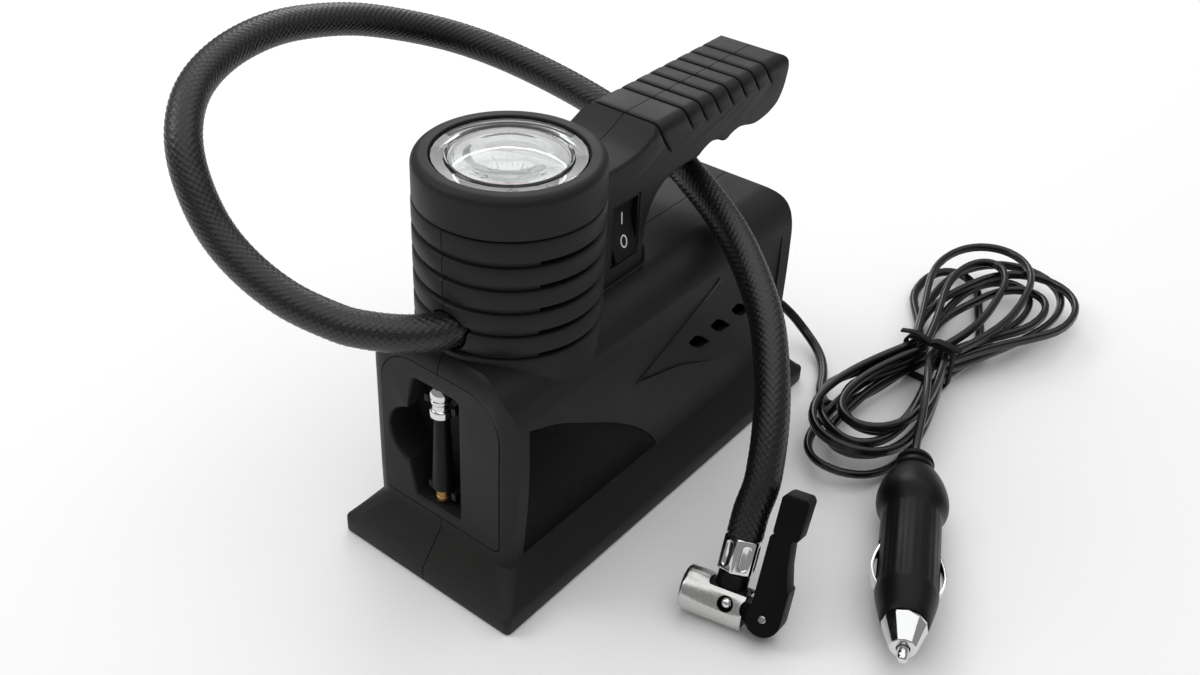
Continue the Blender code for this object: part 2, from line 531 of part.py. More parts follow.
def drive():
    """Make the motor, gears, crank, piston and cylinder."""
    m = along_y(0, MOTOR_Z)
    lathe("motor_can", [(4.6, -13.2), (18.2, -13.2), (19.0, -12.4), (19.0, 44.5), (17.4, 44.5), (17.4, -11.4), (4.6, -11.4)], 20, "steel", m)
    lathe("motor_end_cap", [(2.1, 44.8), (18.8, 44.8), (18.8, 48.4), (7.0, 49.0), (6.0, 52.4), (2.1, 52.4)], 20, "nylon", m)
    rotor = lathe("motor_rotor", [(0, -25.0), (1.7, -25.0), (1.7, 0.0), (14.5, 0.0), (14.5, 32.0), (4.5, 32.0), (4.5, 42.0), (1.7, 42.0), (1.7, 54.0), (0, 54.0)], 12, None, m)
    pinion = prism("pinion", [(x, MOTOR_Z + z) for x, z in gear_outline(PINION_T, MODULE, -math.pi / 2 + math.pi / PINION_T)], "y", -24.6, -18.4)
    fuse(rotor, pinion)
    dress(clean(rotor), "steel")

    gear = prism("crank_gear", [(x, GEAR_Z + z) for x, z in gear_outline(GEAR_T, MODULE, math.pi / 2)], "y", -24.0, -19.0)
    g = along_y(0, GEAR_Z)
    fuse(gear, lathe("shaft", [(0, -41.0), (4.0, -41.0), (4.0, -26.0), (8.0, -26.0), (8.0, -18.4), (3.0, -18.4), (3.0, -14.8), (0, -14.8)], 12, None, g))
    web = [(-6.5, GEAR_Z + 10.5), (6.5, GEAR_Z + 10.5), (7.0, GEAR_Z), (13.0, GEAR_Z - 3.0), (9.0, GEAR_Z - 10.5), (0.0, GEAR_Z - 13.5), (-9.0, GEAR_Z - 10.5), (-13.0, GEAR_Z - 3.0), (-7.0, GEAR_Z)]
    fuse(gear, prism("web", web, "y", -43.0, -38.0))
    fuse(gear, lathe("pin", [(0, -45.0), (3.0, -45.0), (3.0, -40.0), (0, -40.0)], 16, None, along_y(0, GEAR_Z + CRANK_R)))
    dress(clean(gear), "nylon")

    plate = [(-26.0, 3.4), (26.0, 3.4), (26.0, 60.0), (20.0, 72.0), (-20.0, 72.0), (-26.0, 60.0)]
    frame = prism("gear_frame", plate, "y", -35.0, -30.0)
    fuse(frame, prism("rear", plate, "y", -17.0, -13.6))
    for x in (-24.0, 24.0):
        fuse(frame, box("bar", (x - 1.8, x + 1.8), (-33.0, -15.0), (3.6, 9.0)))
        fuse(frame, box("bar", (x - 1.8, x + 1.8), (-33.0, -15.0), (54.0, 59.8)))
    cut(frame, lathe("bore", [(0, -36.0), (4.35, -36.0), (4.35, -29.0), (0, -29.0)], 20, None, g))
    cut(frame, lathe("bore2", [(0, -18.0), (8.4, -18.0), (8.4, -17.0), (3.35, -17.0), (3.35, -13.0), (0, -13.0)], 20, None, g))
    cut(frame, lathe("bore3", [(0, -40.0), (7.0, -40.0), (7.0, -10.0), (0, -10.0)], 20, None, m))
    cut(frame, box("window", (-13.6, 13.6), (-36.0, -29.0), (52.4, 73.0)))
    dress(clean(frame), "alu")

    at = Matrix.Translation((0, TOWER_Y, 0))
    top = GEAR_Z + CRANK_R
    rod = lathe("piston_rod", [(0, -51.4), (6.6, -51.4), (6.6, -45.4), (0, -45.4)], 16, None, along_y(0, top))
    cut(rod, lathe("eye", [(0, -52.0), (3.4, -52.0), (3.4, -45.0), (0, -45.0)], 16, None, along_y(0, top)))
    fuse(rod, prism("shank", [(-3.2, top + 5.0), (3.2, top + 5.0), (2.2, 71.0), (-2.2, 71.0)], "y", -50.4, -46.4))
    fuse(rod, lathe("disc", [(0, 70.0), (9.6, 70.0), (9.9, 71.0), (9.9, 74.0), (7.4, 74.0), (7.4, 76.6), (0, 76.6)], 16, None, at))
    dress(clean(rod), "alu")
    lathe("cup_seal", [(7.7, 74.3), (9.9, 74.3), (10.1, 77.4), (9.4, 77.4), (9.0, 75.6), (7.7, 75.6)], 16, "rubber", at)
    fins = [(BORE_R, 56.4), (12.0, 56.4)]
    for k in range(3):
        z = 60.0 + 6.5 * k
        fins += [(12.0, z), (13.1, z), (13.1, z + 2.0), (12.0, z + 2.0)]
    fins += [(12.0, 79.4), (BORE_R, 79.4)]
    lathe("cylinder", fins, 20, "alu", at)
    lathe("head_gasket", [(BORE_R, 79.7), (12.6, 79.7), (12.6, 80.9), (BORE_R, 80.9)], 20, "rubber", at)
    head = lathe("cylinder_head", [(0, 81.2), (13.1, 81.2), (13.1, 87.6), (7.0, 88.6), (7.0, 104.0), (1.6, 104.0), (1.6, 84.0), (0, 84.0)], 16, None, at)
    barb = lathe("barb", [(0, 0), (4.4, 0), (4.4, 6.0), (3.4, 6.4), (3.9, 8.0), (3.0, 9.6), (3.6, 11.0), (2.8, 13.4), (0, 13.4)], 10, None,
                 frame_at((2.0 * 0.3, -54.6, 97.0), (0.0, -1.0, 0.0), (0, 0, 1)))
    fuse(head, barb)
    cut(head, lathe("way", [(0, -2.0), (1.5, -2.0), (1.5, 20.0), (0, 20.0)], 12, None, frame_at((0.6, -48.6, 97.0), (0, -1, 0), (0, 0, 1))))
    dress(clean(head), "alu")


# ---------------------------------------------------------------- adapter in the pocket
def adapter():
    """Make the tapered nozzle adapter that stands in the pocket."""
    at = Matrix.Translation((-2.7, -BODY_HL + 4.4, 0))
    lathe("adapter_tip", [(0, 25.8), (1.8, 25.8), (2.5, 26.6), (2.5, 31.4), (1.2, 31.4), (1.2, 36.0), (0, 36.0)], 16, "brass", at)
    lathe("adapter_cone", [(1.5, 31.7), (3.7, 31.7), (3.8, 33.0), (2.6, 61.6), (1.5, 61.6)], 16, "black", at)
    lathe("adapter_collar", [(0, 50.0), (1.2, 50.0), (1.2, 61.9), (3.8, 61.9), (3.9, 64.6), (3.1, 65.4), (3.1, 67.0), (3.7, 67.6), (3.7, 71.2), (2.4, 73.0), (0, 73.0)], 12, "chrome", at)


# ---------------------------------------------------------------- cords
def tube(name, points, diameter, sides_res, look):
    """Make one unbroken tube as a bevelled curve."""
    curve = bpy.data.curves.new(name, "CURVE")
    curve.dimensions = "3D"
    curve.bevel_depth = diameter / 2 * MM
    curve.bevel_resolution = sides_res
    curve.use_fill_caps = True
    spline = curve.splines.new("POLY")
    spline.points.add(len(points) - 1)
    for pt, co in zip(spline.points, points):
        pt.co = (*(Vector(co) * MM), 1.0)
    obj = bpy.data.objects.new(name, curve)
    bpy.context.collection.objects.link(obj)
    return dress(obj, look)


def chuck():
    """Make the lever chuck and the ferrule that holds it on the hose."""
    at = frame_at(CHUCK_Q, CHUCK_A, CHUCK_H)            # x up the hose, y across, z away from the mouth
    up = frame_at(CHUCK_Q, CHUCK_H, CHUCK_A)
    inner = SLEEVE_R - SLEEVE_WALL
    core_r = inner - GAP
    front = SLEEVE_LO + 2.2 + GAP

    body = lathe("chuck_body", [(2.6, front), (core_r, front), (core_r, 6.0), (0.0, 6.0), (0.0, 4.0), (2.6, 4.0)], 20, None, at)
    half = [math.radians(a) for a in range(0, 181, 20)]
    lug = [(-LUG_R, 5.0), (LUG_R, 5.0)] + [(LUG_R * math.cos(a), PIVOT_T + LUG_R * math.sin(a)) for a in half]
    fuse(body, prism("lug", lug, "y", -LEVER_GAP + GAP, LEVER_GAP - GAP, None, at))
    fuse(body, lathe("stem", [(0, 3.0), (5.2, 3.0), (5.2, STEM_L), (3.0, STEM_L), (3.0, STEM_L + FERRULE_L - 1.0), (0, STEM_L + FERRULE_L - 1.0)], 16, None, up))
    cut(body, lathe("seal_seat", [(0, front - 3.0), (5.2, front - 3.0), (5.2, front + 6.0), (0, front + 6.0)], 20, None, at))
    cut(body, lathe("air_way", [(0, 1.5), (1.5, 1.5), (1.5, 40.0), (0, 40.0)], 12, None, up))
    cut(body, lathe("pin_hole", [(0, -9.0), (PIN_R + GAP, -9.0), (PIN_R + GAP, 9.0), (0, 9.0)], 12, None, across(at)))
    dress(clean(body), "chrome")

    sleeve = lathe("chuck_sleeve", [(5.3, SLEEVE_LO), (SLEEVE_R - 1.4, SLEEVE_LO), (SLEEVE_R - 0.4, SLEEVE_LO + 0.5), (SLEEVE_R, SLEEVE_LO + 1.6), (SLEEVE_R, SLEEVE_HI),
                                    (inner, SLEEVE_HI), (inner, SLEEVE_LO + 2.2), (5.3, SLEEVE_LO + 2.2)], 24, None, at)
    cut(sleeve, box("stem_cut", (0.0, 12.0), (-5.7, 5.7), (-6.4, 20.0), None, at))
    for side in (-1, 1):
        cut(sleeve, lathe("wave", [(0, -3.0), (3.4, -3.0), (3.4, 3.0), (0, 3.0)], 16, None,
                          at @ Matrix.Translation((1.6, side * 8.0, SLEEVE_HI + 2.2)) @ Matrix.Rotation(math.pi / 2, 4, "X")))
    cut(sleeve, lathe("side_hole", [(0, 4.0), (2.1, 4.0), (2.1, 12.0), (0, 12.0)], 16, None,
                      at @ Matrix.Translation((1.0, 0.0, 1.0)) @ Matrix.Rotation(-math.pi / 2, 4, "X")))
    dress(clean(sleeve), "steel")
    lathe("chuck_seal", [(2.2, front + 2.0), (4.9, front + 2.0), (4.9, front + 6.0 - GAP), (3.0, front + 6.0 - GAP)], 16, "rubber", at)
    lathe("chuck_pin", [(0, -LEVER_HW - 0.6), (PIN_R, -LEVER_HW - 0.6), (PIN_R, LEVER_HW + 0.6), (0, LEVER_HW + 0.6)], 12, "steel", across(at))

    cam = [(CAM_R * math.cos(math.radians(a)), -CAM_R * math.sin(math.radians(a))) for a in range(51, 271, 24)]
    arm = cam + [(0.0, CAM_R), (10.4, CAM_R), (11.2, 5.0), (18.0, 3.4), (26.5, 2.4), (27.5, 4.6), (27.5, -3.0), (26.5, -4.6)]
    way = [(-9.0, -9.0), (26.0, -9.0), (26.0, 0.8), (18.0, 1.6), (10.0, 3.5), (-9.0, 3.5)]
    pad = [(26.6, 2.2), (27.4, 4.6), (LEVER_L - 1.5, 5.0), (LEVER_L, 4.0), (LEVER_L, -2.6), (LEVER_L - 1.2, -4.0), (28.0, -4.0), (26.6, -2.4)]
    place = at @ Matrix.Translation((0, 0, PIVOT_T))
    lever = prism("chuck_lever", arm, "y", -LEVER_HW, LEVER_HW, None, place)
    fuse(lever, prism("pad", pad, "y", -PAD_HW, PAD_HW, None, place))
    cut(lever, prism("way", way, "y", -LEVER_GAP, LEVER_GAP, None, place))
    cut(lever, lathe("pivot_hole", [(0, -9.0), (PIN_R + GAP, -9.0), (PIN_R + GAP, 9.0), (0, 9.0)], 12, None, across(at)))
    dress(clean(lever), "black")

    corner = FERRULE_AF / math.sqrt(3)
    hexagon = [(corner * math.cos(math.radians(a)), corner * math.sin(math.radians(a))) for a in range(30, 390, 60)]
    ferrule = prism("hose_ferrule", hexagon, "z", STEM_L + GAP, STEM_L + FERRULE_L, None, up)
    cut(ferrule, lathe("ferrule_bore", [(0, 0), (3.0 + GAP, 0), (3.0 + GAP, 40.0), (0, 40.0)], 16, None, up))
    dress(ferrule, "chrome")


def across(at):
    """Return the chuck's pivot frame: local z along the chuck's y, through the lever's pin."""
    return at @ Matrix.Translation((0, 0, PIVOT_T)) @ Matrix.Rotation(-math.pi / 2, 4, "X")


def chuck_point(distance):
    """Return the point on the hose's axis that far from the chuck's middle."""
    return tuple(Vector(CHUCK_Q) + Vector(CHUCK_H).normalized() * distance)


def plug_point(distance):
    """Return the point on the plug's axis that far behind its tip."""
    return tuple(Vector(PLUG_TIP) + Vector(PLUG_BACK).normalized() * distance)


def plug():
    """Make the car plug: body, nose, tip, fuse, spring and side contacts."""
    at = frame_at(PLUG_TIP, PLUG_BACK, (0, 0, 1))       # x up, y across, z to the cord
    body = lathe("plug_body", [(PLUG_BORE, 15.3), (7.4, 15.3), (BARREL_R, 28.0), (BARREL_R, 66.5), (BULGE_R, 69.5), (BULGE_R, 74.0), (11.2, 80.0), (8.8, 87.0),
                               (6.6, 92.0), (6.5, PLUG_L), (CORD_D / 2 + GAP, PLUG_L), (CORD_D / 2 + GAP, 74.0), (PLUG_BORE, 74.0)], 20, None, at)
    for side in (-1, 1):
        cut(body, box("contact_slot", (-CONTACT_W / 2 - GAP, CONTACT_W / 2 + GAP), tuple(sorted((side * 6.2, side * 13.0))), (28.6, 50.4), None, at))
    for z in (89.5, 93.5):
        cut(body, lathe("boot_groove", [(5.6, z - 0.5), (9.5, z - 0.5), (9.5, z + 0.5), (5.6, z + 0.5)], 12, None, at))
    dress(clean(body), "black")
    lathe("plug_nose", [(2.15, 5.0), (4.15, 5.0), (7.3, 13.6), (7.3, 15.0), (PLUG_BORE - GAP, 15.0), (PLUG_BORE - GAP, 20.0), (3.7, 20.0), (3.7, 9.0), (2.15, 9.0)], 12, "chrome", at)
    lathe("plug_pin", [(0, 0), (1.3, 0), (1.85, 0.6), (1.85, 9.3), (3.4, 9.3), (3.4, 12.4), (0, 12.4)], 16, "chrome", at)
    lathe("plug_fuse", [(0, 12.7), (FUSE_R, 12.7), (FUSE_R, 12.7 + FUSE_L), (0, 12.7 + FUSE_L)], 16, "white", at)
    turns, per, start, end = 4, 8, 43.0 + GAP, 73.7 - GAP
    coil = [at @ Vector((3.2 * math.cos(2 * math.pi * k / per), 3.2 * math.sin(2 * math.pi * k / per), start + (end - start) * k / (turns * per))) for k in range(round(turns * per) + 1)]
    tube("plug_spring", coil, 0.7, 1, "steel")
    for side, word in ((-1, "left"), (1, "right")):
        strip = [(7.2, 49.8), (9.4, 48.8), (11.6, 42.0), (12.2, 37.0), (11.4, 32.0), (9.6, 29.0), (8.8, 29.6), (10.6, 32.6), (11.4, 37.0), (10.8, 41.6), (8.8, 47.8), (7.2, 48.6)]
        prism(f"plug_contact_{word}", [(side * y, z) for y, z in strip], "x", -CONTACT_W / 2, CONTACT_W / 2, "chrome", at)


def half_loop(side, slot_in, slot_out, reach, swell, lean_in, lean_out, low, high, steps=12):
    """Return one half loop of the hank from the tie out to its tip and back."""
    def ramp(x, a, b):
        t = min(1.0, max(0.0, (x - a) / (b - a)))
        return t * t * (3 - 2 * t)
    pts = []
    for k in range(steps):
        deg = 180.0 * k / steps
        a = math.radians(deg)
        slot = SLOTS[abs(slot_in)] + (SLOTS[abs(slot_out)] - SLOTS[abs(slot_in)]) * ramp(deg, 40, 140)
        x = math.copysign(1.0, slot_in) * math.cos(a) * (slot + swell * math.sin(a))
        y = reach * math.sin(a)
        lean = math.radians(lean_in + (lean_out - lean_in) * ramp(deg, *LEAN_OVER)) * ramp(min(deg, 180 - deg), 0, 45)
        layer = low + (high - low) * ramp(deg, 40, 90)
        pts.append((TIE[0] + x * math.cos(lean) + y * math.sin(lean),
                    TIE[1] + side * (y * math.cos(lean) - x * math.sin(lean)), LAYER_Z + LAYER_PITCH * layer))
    return pts


def least_gap(points, diameter):
    """Return the least gap between far stretches of a tube, measured every millimetre or so."""
    line, along, total = [], [], 0.0
    for a, b in zip(points, points[1:]):
        a, b = np.array(a), np.array(b)
        step = float(np.linalg.norm(b - a))
        n = max(1, int(step))
        line += [a + (b - a) * k / n for k in range(n)]
        along += [total + step * k / n for k in range(n)]
        total += step
    line, along = np.array(line), np.array(along)
    apart = np.linalg.norm(line[:, None] - line[None], axis=2)
    apart[np.abs(along[:, None] - along[None]) < 3 * diameter] = 1e9
    return float(apart.min()) - diameter, total


def power_cord():
    """Make the cord in three lengths that meet end to end, its tie and its strain relief."""
    top = LAYER_Z + LAYER_PITCH * HANK[-1][-1]
    start = Vector(CORD_LEAD[-1])
    into = (Vector((TIE[0] - SLOTS[2], TIE[1], LAYER_Z)) - start).normalized()
    end = (TIE[0] + SLOTS[1], TIE[1], top)
    lead = CORD_LEAD + [tuple(start + into * CORD_D)]
    wound = [tuple(start + into * (CORD_D + GAP))] + [p for half in HANK for p in half_loop(*half)]
    out = (Vector(CORD_TAIL[0]) - Vector(end)).normalized()
    stop = Vector(CORD_TAIL[0]) - out * GAP
    wound += [end, tuple(stop - out * CORD_D), tuple(stop)]
    tail = CORD_TAIL[:1] + [tuple(Vector(CORD_TAIL[0]) + out * CORD_D)] + CORD_TAIL[1:] + [plug_point(d) for d in (PLUG_L + 6.0, PLUG_L, PLUG_L - 7.0)]
    tube("power_cord_lead", lead, CORD_D, 2, "black")
    tube("power_cord_hank", wound, CORD_D, 1, "black")
    tube("power_cord_tail", tail, CORD_D, 2, "black")
    gap, length = least_gap(lead + wound + tail, CORD_D)
    print(f"power cord {length / 1000:.2f} m, least gap to itself {gap:.2f} mm")

    x_in, z_lo, z_hi = SLOTS[2] + CORD_D / 2 + 1.1, LAYER_Z - CORD_D / 2 - 0.5, top + CORD_D / 2 + 0.9
    mid = (z_lo + z_hi) / 2
    outer = [(TIE[0] + x, mid + z) for x, z in rounded(x_in + 0.9, (z_hi - z_lo) / 2 + 0.9, 3.0, 3)]
    inner = [(TIE[0] + x, mid + z) for x, z in rounded(x_in, (z_hi - z_lo) / 2, 2.2, 3)]
    tie = prism("cord_tie", outer, "y", TIE[1] - 1.7, TIE[1] + 1.7)
    cut(tie, prism("tie_hole", inner, "y", TIE[1] - 3.0, TIE[1] + 3.0))
    for side in (-1, 1):
        tail_end = [(TIE[0], z_hi + 0.3), (TIE[0] + side * 5.0, z_hi + 2.6), (TIE[0] + side * 13.0, z_hi + 1.4), (TIE[0] + side * 13.4, z_hi + 2.2),
                    (TIE[0] + side * 5.0, z_hi + 3.6), (TIE[0], z_hi + 1.6)]
        fuse(tie, prism("tie_end", tail_end, "y", TIE[1] - 1.7, TIE[1] + 1.7))
    dress(clean(tie), "black")

    wall = BODY_HL
    lathe("strain_relief", [(CORD_D / 2 + GAP, wall - 5.0), (5.6, wall - 5.0), (5.6, wall - WALL - GAP), (4.0, wall - WALL - GAP), (4.0, wall + GAP), (5.8, wall + GAP),
                            (5.8, wall + 2.2), (3.8, wall + 3.0), (2.9, wall + 14.0), (CORD_D / 2 + GAP, wall + 14.0)], 12, "rubber",
          frame_at((CORD_EXIT[0], 0.0, CORD_EXIT[2]), (0, 1, 0), (0, 0, 1)))


def main():
    """Build every piece."""
    clear_scene()
    housing()
    front_panel()
    side_label()
    screws()
    gauge()
    switch()
    drive()
    adapter()
    hose = HOSE_PATH + [chuck_point(STEM_L + FERRULE_L + 8.5), chuck_point(STEM_L + FERRULE_L + GAP)]
    tube("air_hose", hose, HOSE_D, 3, "braid")
    chuck()
    plug()
    power_cord()


main()
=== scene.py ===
"""Looks of the portable tire inflator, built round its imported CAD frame. Lengths are in metres.

Frame: +Z up, the storage pocket faces -Y, the switch side faces +X and the origin
is the middle of the base on the floor.
"""

import logging
import math
from collections.abc import Iterator, Sequence
from contextlib import contextmanager
from dataclasses import dataclass, field
from enum import Enum

import bmesh
import bpy
import numpy as np
from bpy.types import Material, Node, NodeSocket, NodeTree, Object
from mathutils import Matrix, Vector


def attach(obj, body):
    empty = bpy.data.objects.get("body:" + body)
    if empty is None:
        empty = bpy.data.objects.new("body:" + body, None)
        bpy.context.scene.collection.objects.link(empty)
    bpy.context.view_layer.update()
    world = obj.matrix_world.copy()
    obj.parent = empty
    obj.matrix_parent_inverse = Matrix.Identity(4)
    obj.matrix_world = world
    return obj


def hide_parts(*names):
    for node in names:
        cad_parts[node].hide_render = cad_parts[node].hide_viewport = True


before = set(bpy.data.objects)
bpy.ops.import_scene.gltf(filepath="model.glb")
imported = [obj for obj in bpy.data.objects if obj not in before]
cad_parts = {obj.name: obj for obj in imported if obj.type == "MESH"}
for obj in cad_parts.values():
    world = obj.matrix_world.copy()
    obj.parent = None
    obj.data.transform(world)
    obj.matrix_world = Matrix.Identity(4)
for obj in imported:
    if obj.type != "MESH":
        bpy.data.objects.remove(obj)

Pair = tuple[float, float]
Point = tuple[float, float, float]
Outline = Sequence[Pair]
log = logging.getLogger("tire_inflator")

PHOTO_WIDTH, PHOTO_HEIGHT = 1200, 675    # the photograph, in pixels
SEAM = 0.00015                           # each housing half stops this far from x = 0
MERGE = 1e-6                             # points nearer than this become one
MERGE_CUT = 3e-6                         # the same after a boolean
GAP = 0.0003                             # air between neighbouring pieces


class Axis(Enum):
    """The axis along which an outline is pulled out."""

    X = "x"
    Y = "y"
    Z = "z"

    def point(self, a: float, b: float, along: float) -> Point:
        """Return the point that is along on this axis and a and b on the others."""
        return {"x": (along, a, b), "y": (a, along, b), "z": (a, b, along)}[self.value]


class Join(Enum):
    """What a boolean does with its second shape."""

    ADD = "UNION"
    TAKE = "DIFFERENCE"
    KEEP = "INTERSECT"


class Slot(Enum):
    """The record's material slots."""

    SHELL = "shell_plastic"
    BLACK = "black_plastic"
    GLOSS = "gloss_plate"
    LENS = "clear_lens"
    DIAL = "dial_white"
    NEEDLE = "needle_red"
    HOSE = "hose_braid"
    RUBBER = "soft_rubber"
    CORD = "cord_jacket"
    CHROME = "chrome_plate"
    STEEL = "steel"
    ALUMINIUM = "cast_alu"
    BRASS = "brass"
    NYLON = "nylon"
    FUSE = "fuse_ceramic"


# ---------------------------------------------------------------- modelling
def clear_selection() -> None:
    """Leave edit mode and select nothing."""
    if bpy.context.object and bpy.context.object.mode != "OBJECT":
        bpy.ops.object.mode_set(mode="OBJECT")
    bpy.ops.object.select_all(action="DESELECT")


def grab(*objects: Object) -> None:
    """Select only these objects and make the first one active."""
    clear_selection()
    for obj in objects:
        obj.select_set(True)
    bpy.context.view_layer.objects.active = objects[0]


@contextmanager
def editing(obj: Object) -> Iterator[None]:
    """Hold an object in edit mode with everything selected."""
    grab(obj)
    bpy.ops.object.mode_set(mode="EDIT")
    bpy.ops.mesh.select_all(action="SELECT")
    yield
    bpy.ops.object.mode_set(mode="OBJECT")


def face_outwards(obj: Object) -> Object:
    """Merge a closed mesh's doubles, turn its faces outwards and return it."""
    with editing(obj):
        bpy.ops.mesh.remove_doubles(threshold=MERGE)
        bpy.ops.mesh.delete_loose(use_verts=True, use_edges=True, use_faces=False)
        bpy.ops.mesh.select_all(action="SELECT")
        bpy.ops.mesh.normals_make_consistent(inside=False)
    return obj


def ring(name: str, points: Sequence[Point], fill: bool = False) -> Object:
    """Add a circle with a corner for each point and move its corners there.

    Args:
        name: The object's name.
        points: The corners in order.
        fill: Whether the circle gets a face.

    Returns:
        The new object.
    """
    clear_selection()
    bpy.ops.mesh.primitive_circle_add(vertices=len(points), radius=1.0, location=(0.0, 0.0, 0.0),
                                      fill_type="NGON" if fill else "NOTHING")
    obj = bpy.context.object
    obj.name = obj.data.name = name
    obj.data.vertices.foreach_set("co", [number for point in points for number in point])
    return obj


def block(name: str, outline: Outline, axis: Axis, low: float, high: float) -> Object:
    """Pull an outline out along an axis.

    Args:
        name: The object's name.
        outline: Corners on the other two axes.
        axis: The axis to pull along.
        low: Where the block starts.
        high: Where it ends.

    Returns:
        The closed block.
    """
    obj = ring(name, [axis.point(a, b, low) for a, b in outline], fill=True)
    with editing(obj):
        bpy.ops.mesh.extrude_region_move(TRANSFORM_OT_translate={"value": axis.point(0.0, 0.0, high - low)})
    return face_outwards(obj)


def turned(name: str, profile: Outline, place: Matrix | None = None, steps: int = 96) -> Object:
    """Spin a closed outline of (radius, height) about local z.

    Args:
        name: The object's name.
        profile: The outline's corners.
        place: Where the finished shape goes.
        steps: Steps in the full turn.

    Returns:
        The closed shape.
    """
    obj = ring(name, [(radius, 0.0, height) for radius, height in profile])
    with editing(obj):
        bpy.ops.mesh.spin(steps=steps, angle=math.tau, center=(0.0, 0.0, 0.0), axis=(0.0, 0.0, 1.0))
    face_outwards(obj)
    if place is not None:
        obj.data.transform(place)
    return obj


def lofted(name: str, rings: Sequence[Sequence[Point]]) -> Object:
    """Extrude a face from ring to ring.

    Args:
        name: The object's name.
        rings: Rings with the same number of points, in order.

    Returns:
        The closed shape.
    """
    obj = ring(name, rings[0], fill=True)
    with editing(obj):
        for low, high in zip(rings, rings[1:]):
            bpy.ops.mesh.extrude_region_move()
            mesh = bmesh.from_edit_mesh(obj.data)
            here = np.array(low)
            for vert in [v for v in mesh.verts if v.select]:
                vert.co = high[int(((here - np.array(vert.co)) ** 2).sum(axis=1).argmin())]
            bmesh.update_edit_mesh(obj.data)
    return face_outwards(obj)


def apply_modifier(obj: Object, kind: str, **settings: object) -> None:
    """Add a modifier to an object and apply it.

    Args:
        obj: The object.
        kind: The modifier's type.
        **settings: The modifier's settings.
    """
    modifier = obj.modifiers.new(kind.lower(), kind)
    for key, value in settings.items():
        setattr(modifier, key, value)
    grab(obj)
    bpy.ops.object.modifier_apply(modifier=modifier.name)


def combine(target: Object, other: Object, how: Join) -> Object:
    """Join one shape with another and drop the other.

    Args:
        target: The shape that stays.
        other: The shape that is used up.
        how: What the boolean does.

    Returns:
        The target.
    """
    apply_modifier(target, "BOOLEAN", operation=how.value, solver="EXACT", object=other)
    bpy.data.objects.remove(other, do_unlink=True)
    with editing(target):
        bpy.ops.mesh.remove_doubles(threshold=MERGE_CUT)
        bpy.ops.mesh.dissolve_degenerate(threshold=MERGE)
    return target


def soften(obj: Object, width: float, segments: int = 2, degrees: float = 35.0) -> Object:
    """Round an object's edges.

    Args:
        obj: The object.
        width: The rounding's width.
        segments: Its segments.
        degrees: Edges sharper than this are rounded.

    Returns:
        The same object.
    """
    apply_modifier(obj, "BEVEL", width=width, segments=segments, limit_method="ANGLE",
                   angle_limit=math.radians(degrees), use_clamp_overlap=True)
    return obj


def copied(obj: Object, name: str) -> Object:
    """Return a copy of an object with its own mesh."""
    twin = obj.copy()
    twin.data = obj.data.copy()
    twin.name = twin.data.name = name
    bpy.context.collection.objects.link(twin)
    return twin


def smooth_line(points: Sequence[Sequence[float]], per_span: int) -> list[tuple[float, ...]]:
    """Run a smooth line through points.

    Args:
        points: The points, in two or three numbers each.
        per_span: Steps between two points.

    Returns:
        The line's points, the given ones among them.
    """
    knots = [np.array(p, float) for p in points]
    before, after = 2 * knots[0] - knots[1], 2 * knots[-1] - knots[-2]
    padded = [before, *knots, after]
    line: list[tuple[float, ...]] = []
    for a, b, c, d in zip(padded, padded[1:], padded[2:], padded[3:]):
        for t in np.arange(per_span) / per_span:
            at = 0.5 * (2 * b + (c - a) * t + (2 * a - 5 * b + 4 * c - d) * t**2
                        + (3 * b - a - 3 * c + d) * t**3)
            line.append(tuple(float(x) for x in at))
    return [*line, tuple(float(x) for x in knots[-1])]


def arc(radius: float, start: float, end: float, steps: int, centre: Pair = (0.0, 0.0)) -> list[Pair]:
    """Return points on an arc.

    Args:
        radius: The arc's radius.
        start: First angle in degrees.
        end: Last angle in degrees.
        steps: Steps between them.
        centre: The arc's centre.

    Returns:
        The points, both ends among them.
    """
    angles = [math.radians(start + (end - start) * k / steps) for k in range(steps + 1)]
    return [(centre[0] + radius * math.cos(a), centre[1] + radius * math.sin(a)) for a in angles]


def rounded(half_x: float, half_y: float, radius: float, steps: int = 8) -> list[Pair]:
    """Return a rectangle with rounded corners, centred on the origin."""
    points: list[Pair] = []
    for sign_x, sign_y, start in ((1, 1, 0), (-1, 1, 90), (-1, -1, 180), (1, -1, 270)):
        centre = (sign_x * (half_x - radius), sign_y * (half_y - radius))
        points += arc(radius, start, start + 90, steps, centre)
    return points


def frame_at(origin: Sequence[float], z_axis: Sequence[float], x_hint: Sequence[float]) -> Matrix:
    """Return a placement.

    Args:
        origin: Where local zero goes.
        z_axis: Where local z points.
        x_hint: Where local x leans.

    Returns:
        The placement as a matrix.
    """
    z = Vector(z_axis).normalized()
    x = Vector(x_hint)
    x = (x - x.dot(z) * z).normalized()
    y = z.cross(x)
    place = Matrix(((x.x, y.x, z.x), (x.y, y.y, z.y), (x.z, y.z, z.z))).to_4x4()
    place.translation = Vector(origin)
    return place


def along(origin: Sequence[float], direction: Sequence[float], distance: float) -> Point:
    """Return the point a distance from an origin in a direction."""
    return tuple(Vector(origin) + Vector(direction).normalized() * distance)


